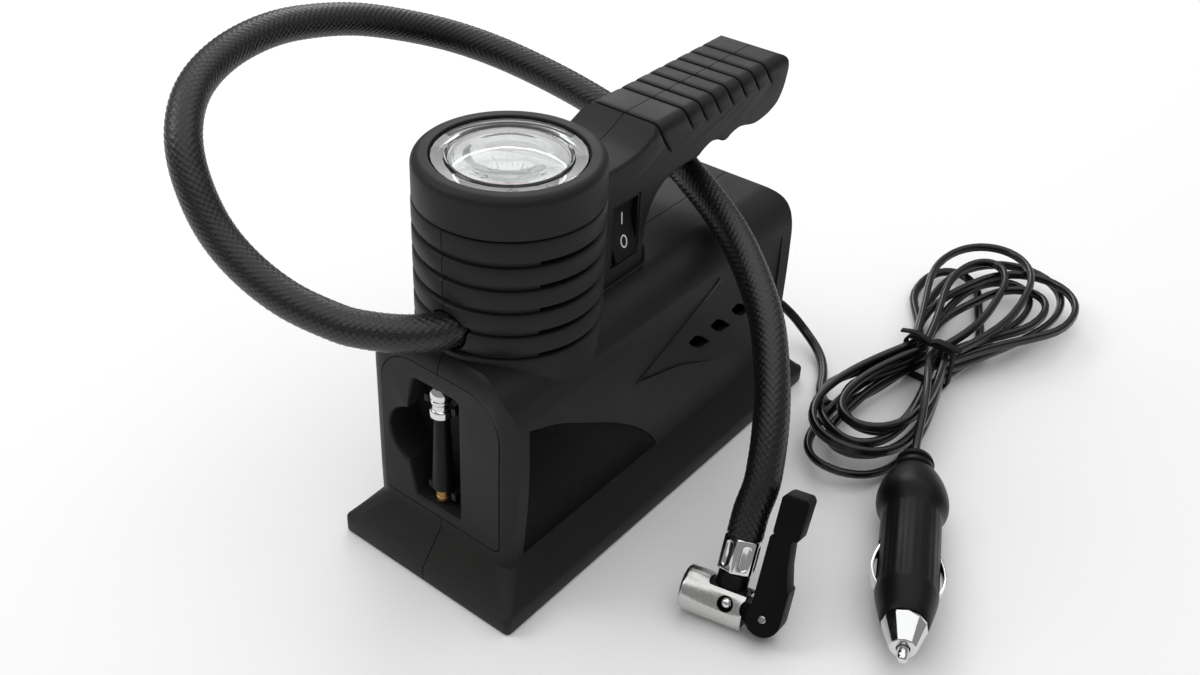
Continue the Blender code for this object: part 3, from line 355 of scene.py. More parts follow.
def tube(name: str, line: Sequence[Sequence[float]], section: Outline) -> Object:
    """Sweep a closed section along a line, without twist.

    Args:
        name: The object's name.
        line: The centreline.
        section: The section's corners, sideways and upwards.

    Returns:
        The closed tube.
    """
    points = [Vector(p) for p in line]
    count = len(section)
    end = len(points) - 1
    lift = Vector((0.0, 0.0, 1.0))
    verts: list[Vector] = []
    for i, point in enumerate(points):
        tangent = (points[min(i + 1, end)] - points[max(i - 1, 0)]).normalized()
        lift = (lift - lift.dot(tangent) * tangent).normalized()
        side = tangent.cross(lift)
        verts += [point + side * a + lift * b for a, b in section]
    faces: list[tuple[int, ...]] = []
    for start in range(0, end * count, count):
        for k in range(count):
            j = (k + 1) % count
            faces.append((start + k, start + j, start + count + j, start + count + k))
    faces += [tuple(reversed(range(count))), tuple(range(end * count, end * count + count))]
    mesh = bpy.data.meshes.new(name)
    mesh.from_pydata(verts, [], faces)
    obj = bpy.data.objects.new(name, mesh)
    bpy.context.collection.objects.link(obj)
    with editing(obj):
        bpy.ops.mesh.normals_make_consistent(inside=False)
    return obj


# ---------------------------------------------------------------- finishes
def linear(colour: str) -> tuple[float, float, float, float]:
    """Return an sRGB hex colour as linear numbers."""
    parts = [int(colour[i:i + 2], 16) / 255 for i in (1, 3, 5)]
    red, green, blue = (c / 12.92 if c <= 0.04045 else ((c + 0.055) / 1.055) ** 2.4 for c in parts)
    return red, green, blue, 1.0


def add_node(tree: NodeTree, kind: str, inputs: dict | None = None, **settings: object) -> Node:
    """Add a node.

    Args:
        tree: The material's nodes.
        kind: The node's type.
        inputs: Its sockets' values, or the sockets that they are linked from.
        **settings: The node's own settings.

    Returns:
        The node.
    """
    node = tree.nodes.new(kind)
    for key, value in settings.items():
        setattr(node, key, value)
    for key, value in (inputs or {}).items():
        if isinstance(value, NodeSocket):
            tree.links.new(value, node.inputs[key])
        else:
            node.inputs[key].default_value = value
    return node


def noise(tree: NodeTree, size: float, detail: float, roughness: float = 0.5,
          stretch: Point | None = None) -> NodeSocket:
    """Add a noise in the object's own coordinates.

    Args:
        tree: The material's nodes.
        size: The size of its blotches in metres.
        detail: Its levels of detail.
        roughness: How strong the fine levels are.
        stretch: Scale of each axis, or None.

    Returns:
        Its strength.
    """
    at = add_node(tree, "ShaderNodeTexCoord").outputs["Object"]
    if stretch:
        at = add_node(tree, "ShaderNodeMapping", {"Vector": at, "Scale": stretch}).outputs[0]
    settings = {"Vector": at, "Scale": 1 / size, "Detail": detail, "Roughness": roughness}
    return add_node(tree, "ShaderNodeTexNoise", settings).outputs["Fac"]


def remap(tree: NodeTree, value: NodeSocket, source: Pair, target: Pair) -> NodeSocket:
    """Map a value from one range to another.

    Args:
        tree: The material's nodes.
        value: The value.
        source: The range it comes from.
        target: The range it goes to.

    Returns:
        The mapped value.
    """
    ends = {"From Min": source[0], "From Max": source[1], "To Min": target[0], "To Max": target[1]}
    return add_node(tree, "ShaderNodeMapRange", {"Value": value, **ends}).outputs[0]


def bump(tree: NodeTree, shader: Node, height: NodeSocket, distance: float, strength: float = 1.0) -> None:
    """Raise a shader's surface by a pattern.

    Args:
        tree: The material's nodes.
        shader: The shader.
        height: The pattern.
        distance: How high it stands in metres.
        strength: How strong it is.
    """
    raised = add_node(tree, "ShaderNodeBump", {"Height": height, "Distance": distance, "Strength": strength})
    tree.links.new(raised.outputs[0], shader.inputs["Normal"])


@dataclass(frozen=True)
class Finish:
    """What every finish has: its name, colour, gloss and whether it is a metal."""

    name: str
    colour: str
    roughness: float
    metallic: float = 0.0

    def material(self) -> Material:
        """Return the finish's material, made the first time it is asked for."""
        made = bpy.data.materials.get(self.name)
        if made:
            return made
        made = bpy.data.materials.new(self.name)
        made.use_nodes = True
        shader = made.node_tree.nodes["Principled BSDF"]
        shader.inputs["Base Color"].default_value = linear(self.colour)
        shader.inputs["Roughness"].default_value = self.roughness
        shader.inputs["Metallic"].default_value = self.metallic
        self.dress(made.node_tree, shader)
        return made

    def dress(self, tree: NodeTree, shader: Node) -> None:
        """Add the finish's own pattern. A plain finish has none."""


@dataclass(frozen=True)
class Moulded(Finish):
    """Injection-moulded plastic or rubber: a fine grain, and colour that varies slightly by place."""

    worn: str = "#3a3936"
    grain: float = 0.00045
    depth: float = 0.00003
    blotch: float = 0.022
    ior: float = 1.52
    gleam: float = 0.25

    def dress(self, tree: NodeTree, shader: Node) -> None:
        """Add grain, blotches and handling marks.

        Args:
            tree: The material's nodes.
            shader: Its shader.
        """
        shader.inputs["IOR"].default_value = self.ior
        shader.inputs["Specular IOR Level"].default_value = self.gleam
        grain = noise(tree, self.grain, 3.0, 0.6)
        patches = noise(tree, self.blotch, 4.0, 0.55)
        share = remap(tree, patches, (0.35, 0.75), (0.0, 0.35))
        speck = remap(tree, grain, (0.42, 0.72), (0.0, 0.3))
        both = add_node(tree, "ShaderNodeMath", {0: share, 1: speck}, operation="ADD")
        colours = {0: both.outputs[0], 6: linear(self.colour), 7: linear(self.worn)}
        tint = add_node(tree, "ShaderNodeMix", colours, data_type="RGBA")
        tree.links.new(tint.outputs[2], shader.inputs["Base Color"])
        gloss = remap(tree, patches, (0.3, 0.7), (self.roughness - 0.05, self.roughness + 0.05))
        tree.links.new(gloss, shader.inputs["Roughness"])
        bump(tree, shader, grain, self.depth)


@dataclass(frozen=True)
class Film(Finish):
    """A printed polycarbonate label film with nothing on it: silky, with a faint orange peel."""

    peel: float = 0.003

    def dress(self, tree: NodeTree, shader: Node) -> None:
        """Add the orange peel.

        Args:
            tree: The material's nodes.
            shader: Its shader.
        """
        shader.inputs["Specular IOR Level"].default_value = 0.05
        wave = noise(tree, self.peel, 2.0)
        dust = remap(tree, wave, (0.3, 0.7), (self.roughness - 0.03, self.roughness + 0.05))
        tree.links.new(dust, shader.inputs["Roughness"])
        bump(tree, shader, wave, 0.00002)


@dataclass(frozen=True)
class Clear(Finish):
    """Clear moulded plastic: what lies under it shows through, bent a little."""

    ior: float = 1.49
    ripple: float = 0.009

    def dress(self, tree: NodeTree, shader: Node) -> None:
        """Let light through and leave the faint ripple of a moulding.

        Args:
            tree: The material's nodes.
            shader: Its shader.
        """
        shader.inputs["Transmission Weight"].default_value = 1.0
        shader.inputs["IOR"].default_value = self.ior
        bump(tree, shader, noise(tree, self.ripple, 1.0), 0.00005)


@dataclass(frozen=True)
class Braided(Finish):
    """Polyester braid: bundles of shiny black thread that pass over and under each other."""

    # painted highlight: the lighter colour that the bundles' raised crests get
    thread_light: str = "#2b2927"
    threads: float = 5.0
    fuzz: float = 0.0008

    def dress(self, tree: NodeTree, shader: Node) -> None:
        """Draw single threads along each bundle, and paint a highlight in speckled glints on the bundles'
        crests, so that the gaps between bundles stay darker as painted shade.

        Args:
            tree: The material's nodes.
            shader: Its shader.
        """
        shader.inputs["Sheen Weight"].default_value = 0.04
        shader.inputs["Sheen Roughness"].default_value = 0.4
        raised = add_node(tree, "ShaderNodeAttribute", attribute_name="braid_height").outputs["Fac"]
        across = add_node(tree, "ShaderNodeAttribute", attribute_name="braid_across").outputs["Fac"]
        turns = add_node(tree, "ShaderNodeMath", {0: across, 1: math.tau * self.threads},
                         operation="MULTIPLY")
        wave = add_node(tree, "ShaderNodeMath", {0: turns.outputs[0]}, operation="COSINE")
        # painted highlight: noisy glints of the lighter colour on the raised crests; the low gaps keep the
        # dark base colour as painted shade
        lit = remap(tree, noise(tree, self.fuzz, 4.0), (0.3, 0.75), (0.0, 0.8))
        share = add_node(tree, "ShaderNodeMath", {0: raised, 1: lit}, operation="MULTIPLY")
        colours = {0: share.outputs[0], 6: linear(self.colour), 7: linear(self.thread_light)}
        tint = add_node(tree, "ShaderNodeMix", colours, data_type="RGBA")
        tree.links.new(tint.outputs[2], shader.inputs["Base Color"])
        bump(tree, shader, wave.outputs[0], 0.00002, 0.5)


@dataclass(frozen=True)
class Metal(Finish):
    """A bare or plated metal with the fine marks that tumbling and handling leave."""

    dull: float = 0.08
    marks: float = 0.0012
    depth: float = 0.000004
    stretch: Point = (1.0, 1.0, 1.0)

    def dress(self, tree: NodeTree, shader: Node) -> None:
        """Vary the gloss and add the marks.

        Args:
            tree: The material's nodes.
            shader: Its shader.
        """
        marks = noise(tree, self.marks, 5.0, 0.65, self.stretch)
        low, high = max(0.02, self.roughness - self.dull / 2), self.roughness + self.dull
        tree.links.new(remap(tree, marks, (0.3, 0.7), (low, high)), shader.inputs["Roughness"])
        bump(tree, shader, marks, self.depth)


# Acrylonitrile butadiene styrene from a spark-eroded mould: matt charcoal with a soft, wide highlight.
SHELL = Moulded("abs_moulded_matt", "#1b1a19", 0.5, worn="#252422", gleam=0.2)
# The same plastic from a finer mould: darker and a little glossier, for switch and plug.
BLACK = Moulded("abs_moulded_satin", "#0e0e0e", 0.38, worn="#161616", grain=0.00035, depth=0.000012,
                blotch=0.014, gleam=0.15)
# Glass-filled nylon from a matt mould: flat black, hardly any highlight, for the lever. Its colour is set a
# shade darker than the switch plastic's: painted shade for the lever's faces that stand in shade.
SHADED_LEVER = Moulded("nylon_glass_filled_black_painted_shade", "#0c0c0c", 0.5, worn="#131313", grain=0.0005, depth=0.00002,
                blotch=0.012, gleam=0.08)
# Thermoplastic rubber: dead matt and slightly brown.
RUBBER = Moulded("rubber_moulded", "#161514", 0.72, worn="#201f1d", grain=0.0006, depth=0.00003,
                 blotch=0.008, gleam=0.2)
# Extruded PVC cord jacket: shiny black that carries bright lengthwise lights.
JACKET = Moulded("pvc_extruded_jacket", "#0e0e0e", 0.24, worn="#151515", grain=0.0016, depth=0.00003,
                 blotch=0.02, ior=1.54, gleam=0.4)
# Polycarbonate label film without any print: even, silky black.
GLOSS = Film("polycarbonate_label_film", "#0b0b0b", 0.42)
# Clear acrylic window.
WINDOW = Clear("acrylic_clear_window", "#f4f7f8", 0.02)
# White lacquered dial plate, slightly warm.
DIAL = Moulded("lacquer_dial_white", "#e3e2dd", 0.42, worn="#d6d4cc", grain=0.0009,
               depth=0.000004, blotch=0.012)
# White and black screen-printing ink: flat marks with soft gloss.
INK_WHITE = Moulded("ink_printed_white", "#e9e9e6", 0.5, worn="#d9d9d4", grain=0.0005,
                    depth=0.000003, blotch=0.005)
INK_BLACK = Moulded("ink_printed_black", "#1a1a1b", 0.5, worn="#252526", grain=0.0005,
                    depth=0.000003, blotch=0.005)
# Painted pointer, signal red.
NEEDLE = Moulded("enamel_painted_red", "#a8231d", 0.4, worn="#bb3a2f", grain=0.0006,
                 depth=0.000004, blotch=0.006)
# Polyester braid over a rubber hose.
BRAID = Braided("polyester_braid_black", "#080808", 0.27)
# Nickel-chrome plating on brass and steel: mirror bright with faint handling marks.
CHROME = Metal("chrome_plated_bright", "#dcdddd", 0.1, 1.0, dull=0.08, marks=0.0024)
# Zinc-plated pressed steel: softer shine, drawn lengthwise.
STEEL = Metal("steel_zinc_plated", "#a9aaab", 0.27, 1.0, dull=0.12, marks=0.0009, depth=0.000006,
              stretch=(1.0, 1.0, 4.0))
# Die-cast aluminium alloy: pale grey with a sandy skin.
CAST = Metal("aluminium_die_cast", "#b9babb", 0.42, 1.0, dull=0.15, marks=0.0007, depth=0.00002)
# Cold-rolled steel sleeve, bright nickel plated: mirror with a soft edge.
SLEEVE = Metal("steel_nickel_plated", "#c9c8c6", 0.22, 1.0, dull=0.1, marks=0.0016, depth=0.000006)
# Dark grey styrene dish under the window.
DISH = Moulded("styrene_moulded_grey", "#282929", 0.45, worn="#303131", grain=0.0005, depth=0.000005,
               blotch=0.008, gleam=0.1)
# Turned brass, lightly tarnished.
BRASS = Metal("brass_turned", "#9c7c4c", 0.34, 1.0, dull=0.12, marks=0.001, depth=0.000006)
# Natural nylon gears: creamy and slightly waxy.
NYLON = Moulded("nylon_natural", "#d8d2bf", 0.45, worn="#cbc4ae", grain=0.0007, depth=0.00001, blotch=0.009)
# Glazed ceramic fuse body.
CERAMIC = Moulded("ceramic_glazed_fuse", "#e4e1d8", 0.25, worn="#d5d1c6", grain=0.0008,
                  depth=0.000005, blotch=0.007)


def settle(obj: Object, body: str, finish: Finish, slot: Slot, *nodes: str, degrees: float = 35.0) -> Object:
    """Shade a piece, give it its finish and hand it to the frame.

    Args:
        obj: The finished mesh, in place.
        body: The CAD body it rides on.
        finish: Its finish.
        slot: The record's material slot; not used.
        *nodes: The CAD nodes it stands for.
        degrees: Edges sharper than this stay sharp.

    Returns:
        The same object.
    """
    grab(obj)
    bpy.ops.object.shade_smooth_by_angle(angle=math.radians(degrees))
    obj.data.materials.clear()
    obj.data.materials.append(finish.material())
    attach(obj, body)
    if nodes:
        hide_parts(*nodes)
    log.info("%s: %d faces on %s", obj.name, len(obj.data.polygons), body)
    return obj


def dress_node(node: str, finish: Finish) -> None:
    """Give a CAD node that stays in view its finish.

    Args:
        node: The node's name.
        finish: Its finish.
    """
    obj = bpy.data.objects[node]
    obj.data.materials.clear()
    obj.data.materials.append(finish.material())


# ---------------------------------------------------------------- housing
@dataclass
class Housing:
    """The clamshell: flared base, arched body, ribbed tower, and the neck that becomes the carry handle."""

    base_half: Pair = (0.038, 0.0915)
    base_edge: float = 0.0069
    foot_half: Pair = (0.029, 0.082)
    foot_z: float = 0.0179
    corner: float = 0.008
    arch_radius: float = 0.016
    arch_centre: Pair = (0.0149, 0.072)
    wall: float = 0.0025
    side: tuple[Pair, ...] = ((0.029, 0.016), (0.0299, 0.028), (0.0308, 0.04), (0.0312, 0.052),
                              (0.0312, 0.062), (0.0309, 0.072))
    tower_y: float = -0.0484
    tower_radius: float = 0.0302
    tower_top: float = 0.1318
    grooves: tuple[float, ...] = (0.1237, 0.1156, 0.1074, 0.0992, 0.091)
    groove_half: float = 0.00075
    groove_depth: float = 0.0016
    neck_half: float = 0.0155
    handle_top: float = 0.1381
    first_grip: float = 0.0098
    grips: tuple[float, ...] = (0.0252, 0.03345, 0.0417, 0.04995, 0.0582, 0.06645, 0.0747)
    grip_depth: float = 0.0012
    neck: tuple[Pair, ...] = ((-0.048, 0.084), (0.0046, 0.084), (0.004, 0.089), (0.0032, 0.095),
                              (0.0037, 0.1015), (0.0057, 0.1078), (0.0096, 0.1132), (0.0166, 0.1169),
                              (0.027, 0.1176), (0.0322, 0.1172), (0.0366, 0.119), (0.0411, 0.1201),
                              (0.046, 0.119), (0.05, 0.1172), (0.0542, 0.1185), (0.0585, 0.1191),
                              (0.063, 0.1183), (0.0684, 0.1169), (0.0734, 0.1169), (0.079, 0.1179),
                              (0.084, 0.1202), (0.0876, 0.125), (0.0895, 0.1316), (0.0892, 0.135),
                              (0.0872, 0.1374), (0.084, 0.1381), (0.00925, 0.1381), (0.0034, 0.1352),
                              (-0.0026, 0.133), (-0.01, 0.1319), (-0.048, 0.1318))
    neck_hollow: tuple[Pair, ...] = ((-0.04, 0.08), (0.0019, 0.08), (0.0014, 0.089), (0.0007, 0.095),
                                     (0.0012, 0.1023), (0.0034, 0.1093), (0.008, 0.1154), (0.0158, 0.1194),
                                     (0.03, 0.1202), (0.041, 0.1227), (0.05, 0.1202), (0.0585, 0.1217),
                                     (0.0684, 0.1195), (0.0783, 0.1204), (0.0826, 0.1222), (0.0853, 0.126),
                                     (0.0869, 0.1316), (0.0862, 0.1342), (0.084, 0.1355), (0.01, 0.1355),
                                     (0.004, 0.1326), (-0.002, 0.1305), (-0.01, 0.1293), (-0.04, 0.1292))
    label_arc: tuple[Pair, ...] = ((-0.0739, 0.0708), (-0.06, 0.0654), (-0.0466, 0.0577), (-0.033, 0.0496),
                                   (-0.021, 0.041), (-0.011, 0.0324), (-0.004, 0.0246), (0.0002, 0.0184))
    label_x: float = 0.0286
    vent_x: float = 0.0306
    louvre_x: Pair = (0.026, 0.036)
    beyond: float = 0.04
    vent_field: tuple[Pair, ...] = ((-0.0183, 0.0574), (0.0302, 0.0758), (0.072, 0.0758), (0.072, 0.023),
                                    (0.0603, 0.0233), (0.0294, 0.0404), (0.0086, 0.05))
    louvre: tuple[Pair, ...] = ((0.0, 0.0569), (0.004, 0.0578), (0.0084, 0.0552), (0.0146, 0.0496),
                                (0.0078, 0.0504), (0.003, 0.0534))
    louvre_starts: tuple[float, ...] = (0.0134, 0.027, 0.0406, 0.0542)
    screws: tuple[Pair, ...] = ((-0.062, 0.0125), (0.07, 0.0125), (0.07, 0.072), (-0.0245, 0.104),
                                (0.079, 0.1286))

    def section(self, inset: float = 0.0, steps: int = 18) -> list[Pair]:
        """Return the body's cross-section, narrow at the foot and arched on top.

        Args:
            inset: How far inside the outer face it lies.
            steps: Steps of each arch.

        Returns:
            The outline as (x, z).
        """
        side = [(x - inset, z) for x, z in smooth_line(self.side, 4)[:-1]]
        if inset:
            side[0] = (side[0][0], 0.008)
        half = side + arc(self.arch_radius - inset, 4, 90, steps, self.arch_centre)
        return half + [(-x, z) for x, z in reversed(half)]

    def base(self) -> Object:
        """Return the flared base with its softened rim."""
        (half_x, half_y), (foot_x, foot_y) = self.base_half, self.foot_half
        levels = [(-0.0009, 0.0, 0.0016), (-0.00025, 0.0003, 0.002), (0.0, 0.0009, 0.0022),
                  (0.0, self.base_edge - 0.0009, 0.0022), (-0.0002, self.base_edge - 0.00035, 0.0022),
                  (-0.00075, self.base_edge, 0.0024)]
        rings = [[(x, y, z) for x, y in rounded(half_x + d, half_y + d, r)] for d, z, r in levels]
        rings += [[(x, y, self.foot_z + z) for x, y in rounded(foot_x + d, foot_y + d, self.corner)]
                  for d, z in ((0.0004, -0.0005), (-0.0001, 0.0004), (-0.0005, 0.002))]
        return lofted("housing_base", rings)

    def body(self) -> Object:
        """Return the arched body with its rounded upright corners and its rolled front and rear rims."""
        half_y = self.foot_half[1]
        shape = block("housing_body", self.section(), Axis.Y, -half_y, half_y)
        rims = [(0.01, 0.0), (0.0805, 0.0), (0.083, 0.0003), (0.085, 0.0009), (0.0866, 0.0018),
                (0.0876, 0.0028), (0.0886, 0.0042)]
        reach = self.side[3][0] + 0.003
        plan = lofted("plan", [[(x, y, z) for x, y in rounded(reach, half_y - d, self.corner + 0.003, 12)]
                               for z, d in rims])
        return combine(shape, plan, Join.KEEP)

    def tower(self) -> Object:
        """Return the ribbed tower, each groove with rolled lips."""
        profile = [(0.0, 0.056), (self.tower_radius, 0.056)]
        lips = [(0.0, 2.4), (0.12, 1.8), (0.45, 1.25), (1.0, 1.0)]
        for z in reversed(self.grooves):
            profile += [(self.tower_radius - deep * self.groove_depth, z - wide * self.groove_half)
                        for deep, wide in lips]
            profile += [(self.tower_radius - deep * self.groove_depth, z + wide * self.groove_half)
                        for deep, wide in reversed(lips)]
        profile += [(self.tower_radius, self.tower_top - 0.0008),
                    (self.tower_radius - 0.00025, self.tower_top - 0.00025),
                    (self.tower_radius - 0.0008, self.tower_top), (0.0, self.tower_top)]
        return turned("housing_tower", profile, Matrix.Translation((0.0, self.tower_y, 0.0)), 128)

    def hood_ring(self, y: float, deep: float, drop: float, curl: float) -> list[Point]:
        """Return one cross-section of the handle.

        Args:
            y: Its place along the handle.
            deep: How far the surface is pushed in there.
            drop: How far down the side a groove runs.
            curl: How far back the groove's lower end swings.

        Returns:
            The ring's points.
        """
        top, half = self.handle_top, self.neck_half
        right = [(half + 0.0012, 0.07), (half + 0.0012, 0.112), (half + 0.0009, 0.12),
                 (half + 0.0006, 0.1245)]
        right += [(half + 0.0004 - 0.0004 * k / 4, 0.126 + 0.0017 * k) for k in range(5)]
        right += arc(0.0045, 8, 90, 8, (half - 0.0045, top - 0.0045))
        ring_points = []
        for x, z in right:
            share = min(1.0, max(0.0, (top - 0.0025 - z) / drop))
            push = deep * min(1.0, max(0.0, (1.0 - share) * 3.0)) if share < 1.0 else 0.0
            middle = Vector((half - 0.0045, top - 0.0045))
            out = Vector((x, z)) - middle if z > middle.y else Vector((1.0, 0.0))
            out = out.normalized() if x > middle.x + 0.0001 else Vector((0.0, 1.0))
            ring_points.append((x - out.x * push, y + curl * share**1.3, z - out.y * push))
        return ring_points + [(-x, y0, z) for x, y0, z in reversed(ring_points)]

    def handle(self) -> Object:
        """Return the neck and handle with the finger scallops below and the curled grip grooves above."""
        outline = [self.neck[0], *smooth_line(self.neck[1:26], 3),
                   *smooth_line(self.neck[26:30], 4), self.neck[30]]
        shape = block("housing_neck", outline, Axis.X, -self.neck_half, self.neck_half)
        soften(shape, 0.0013, 4, 60.0)
        drops = [(self.first_grip, 0.011, 0.007)] + [(y, 0.0055, 0.003) for y in self.grips]
        rings = [self.hood_ring(-0.062, 0.0, 0.011, 0.0), self.hood_ring(-0.01, 0.0, 0.011, 0.0)]
        groove = ((-0.0022, 0.0), (-0.0011, 0.12), (-0.0006, 0.35), (-0.00042, 1.0),
                  (0.00042, 1.0), (0.0006, 0.35), (0.0011, 0.12), (0.0022, 0.0))
        for y, drop, curl in drops:
            rings += [self.hood_ring(y + off, deep * self.grip_depth, drop, curl) for off, deep in groove]
        rings += [self.hood_ring(0.084, 0.0, 0.005, 0.0), self.hood_ring(0.1, 0.0, 0.005, 0.0)]
        return combine(shape, lofted("hood", rings), Join.KEEP)

    def hollow(self) -> Object:
        """Return the hollow inside the shell."""
        (half_x, half_y), (foot_x, foot_y) = self.base_half, self.foot_half
        shape = block("hollow", self.section(self.wall, 8), Axis.Y, -half_y + 0.012, foot_y - self.wall)
        combine(shape, block("plan_in", rounded(self.side[3][0] + 0.0005, foot_y - self.wall, self.corner),
                             Axis.Z, 0.005, 0.09), Join.KEEP)
        levels = ((half_x - 0.0034, half_y - 0.0034, 0.003), (half_x - 0.0032, half_y - 0.0032, 0.0059),
                  (foot_x - 0.0026, foot_y - 0.0026, 0.0159))
        skirt = lofted("skirt_in", [[(x, y, z) for x, y in rounded(a, b, 0.002)] for a, b, z in levels])
        combine(shape, skirt, Join.ADD)
        well = turned("tower_in", [(0.0, 0.07), (0.027, 0.07), (0.027, 0.14), (0.0, 0.14)],
                      Matrix.Translation((0.0, self.tower_y, 0.0)), 64)
        combine(shape, well, Join.ADD)
        neck = block("neck_in", self.neck_hollow, Axis.X, -self.neck_half + self.wall,
                     self.neck_half - self.wall)
        return combine(shape, neck, Join.ADD)

    def label_outline(self, grow: float = 0.0) -> list[Pair]:
        """Return the flat field on the right cheek.

        Args:
            grow: How far the outline is moved outwards.

        Returns:
            The outline as (y, z), its top edge one long curve.
        """
        curve = smooth_line(self.label_arc, 5)
        (y0, z0), (y1, z1) = curve[0], curve[-1]
        out_y, out_z = 0.62, 0.78     # the curve's mean outward direction
        top = [(y + out_y * grow, z + out_z * grow) for y, z in curve[1:-1]]
        return [(y0 - grow, z1 - grow), (y0 - grow, z0 + grow), *top, (y1 + grow, z1 - grow)]

    def cut_fields(self, shape: Object) -> None:
        """Cut the label field, the vent fields and their louvres."""
        combine(shape, block("label_field", self.label_outline(), Axis.X, self.label_x, self.beyond),
                Join.TAKE)
        for sign in (1, -1):
            combine(shape, block("vent_field", self.vent_field, Axis.X,
                                 *sorted((sign * self.vent_x, sign * self.beyond))), Join.TAKE)
            for start in self.louvre_starts:
                outline = [(start + y, z) for y, z in self.louvre]
                combine(shape, block("louvre", outline, Axis.X, *sorted(sign * x for x in self.louvre_x)),
                        Join.TAKE)

    def welts(self, shape: Object) -> None:
        """Raise the two thin welts: above the vent field, and round the neck's foot under the switch."""
        (y0, z0), (y1, z1) = self.vent_field[:2]
        way = (Vector((y1, z1)) - Vector((y0, z0))).normalized()
        rings = []
        for share, out in ((0.0, 0.0317), (0.4, 0.0318), (0.75, 0.0315), (1.0, 0.031)):
            y, z = y0 + (y1 - y0) * share, z0 + (z1 - z0) * share
            section = ((0.0298, -0.0016), (0.0309, -0.0015), (out, -0.0001), (out, 0.00015),
                       (0.0298, 0.00035))
            rings.append([(x, y - way.y * off, z + way.x * off) for x, off in section])
        combine(shape, lofted("welt", rings), Join.ADD)
        line = smooth_line([(0.0159, -0.026, 0.088), (0.0159, -0.01, 0.0882), (0.0159, 0.0, 0.0884),
                            (0.0158, 0.003, 0.0894), (0.0155, 0.0036, 0.092), (0.0152, 0.003, 0.096)], 8)
        combine(shape, tube("foot_welt", line, arc(0.00055, 0, 360, 10)[:-1]), Join.ADD)

    def slot_bar(self, z: float) -> Object:
        """Return a curved bar about the tower, on its right side, that opens one groove.

        Args:
            z: The groove's height.

        Returns:
            The bar.
        """
        angles = [math.radians(-30 + 44 * k / 12) for k in range(13)]
        outline = [(0.033 * math.cos(a), self.tower_y + 0.033 * math.sin(a)) for a in angles]
        outline += [(0.024 * math.cos(a), self.tower_y + 0.024 * math.sin(a)) for a in reversed(angles)]
        return block("slot_bar", outline, Axis.Z, z - self.groove_half, z + self.groove_half)

    def cut_openings(self, shape: Object) -> None:
        """Cut the openings for panel, hose, switch, cord, tower slots and screws."""
        combine(shape, block("front_open", StoragePanel().outline(GAP), Axis.Y, -0.09, -0.07), Join.TAKE)
        hose = turned("hose_hole", [(0.0, 0.0), (0.0069, 0.0), (0.0069, 0.03), (0.0, 0.03)],
                      frame_at((0.0034, -0.07, 0.097), (-0.28, -1.0, 0.0), (0, 0, 1)), 48)
        combine(shape, hose, Join.TAKE)
        combine(shape, block("switch_open", [(-0.0155, 0.0948), (-0.0005, 0.0948), (-0.0005, 0.1182),
                                             (-0.0155, 0.1182)], Axis.X, 0.008, 0.018), Join.TAKE)
        cord = turned("cord_hole", [(0.0, 0.0), (0.0043, 0.0), (0.0043, 0.02), (0.0, 0.02)],
                      frame_at((0.012, 0.072, 0.0246), (0, 1, 0), (0, 0, 1)), 32)
        combine(shape, cord, Join.TAKE)
        for z in self.grooves:
            combine(shape, self.slot_bar(z), Join.TAKE)
        for y, z in self.screws:
            deep = self.left_reach(z) - 0.005
            place = Matrix.Translation((0.0, y, z)) @ Matrix.Rotation(-math.pi / 2, 4, "Y")
            combine(shape, turned("screw_bore", [(0.0, deep), (0.0032, deep), (0.0032, 0.045), (0.0, 0.045)],
                                  place, 24), Join.TAKE)

    @staticmethod
    def left_reach(z: float) -> float:
        """Return how far the left side's outer face is from the middle at a height."""
        if z < 0.016:
            return 0.035
        return 0.0155 if z > 0.09 else 0.0302

    def split(self, shape: Object, name: str, sign: int) -> Object:
        """Return one half of the shell, cut square at the seam.

        Args:
            shape: The whole shell.
            name: The half's name.
            sign: 1 for the right half and -1 for the left.

        Returns:
            The half.
        """
        half = copied(shape, name)
        outline = [(-0.12, -0.01), (0.12, -0.01), (0.12, 0.18), (-0.12, 0.18)]
        combine(half, block("half_space", outline, Axis.X, *sorted((sign * SEAM, sign * 0.06))), Join.KEEP)
        return settle(half, "base", SHELL, Slot.SHELL, f"housing_{'right' if sign > 0 else 'left'}",
                      degrees=28.0)

    def screw_head(self) -> Object:
        """Return one cross-head screw, its head up and its place at the origin."""
        head = turned("screw", [(0.0, -0.008), (0.0014, -0.008), (0.0014, 0.0), (0.0028, 0.0),
                                (0.0028, 0.001), (0.0026, 0.0015), (0.002, 0.0019), (0.0, 0.002)], None, 32)
        for turn in (0.0, math.pi / 2):
            bar = block("cross", [(-0.0017, -0.0003), (0.0017, -0.0003), (0.0017, 0.0003),
                                  (-0.0017, 0.0003)], Axis.Z, 0.001, 0.003)
            bar.data.transform(Matrix.Rotation(turn, 4, "Z"))
            combine(head, bar, Join.TAKE)
        return head

    def build(self) -> None:
        """Build both halves and their screws."""
        shape = self.body()
        for part in (self.base(), self.tower(), self.handle()):
            combine(shape, part, Join.ADD)
        combine(shape, self.hollow(), Join.TAKE)
        self.cut_openings(shape)
        self.cut_fields(shape)
        self.welts(shape)
        self.split(shape, "shell_right", 1)
        self.split(shape, "shell_left", -1)
        bpy.data.objects.remove(shape, do_unlink=True)
        master = self.screw_head()
        for number, (y, z) in enumerate(self.screws, 1):
            screw = copied(master, f"case_screw_{number}")
            rise = self.left_reach(z) - 0.005 + GAP
            screw.data.transform(Matrix.Translation((0.0, y, z)) @ Matrix.Rotation(-math.pi / 2, 4, "Y")
                                 @ Matrix.Translation((0.0, 0.0, rise)))
            settle(screw, "base", STEEL, Slot.STEEL, f"housing_screw_{number}")
        bpy.data.objects.remove(master, do_unlink=True)
        label = block("label_film", self.label_outline(-GAP), Axis.X, self.label_x + GAP,
                      self.label_x + GAP + 0.0005)
        soften(label, 0.00012, 2, 60.0)
        settle(label, "base", GLOSS, Slot.GLOSS, "side_label")


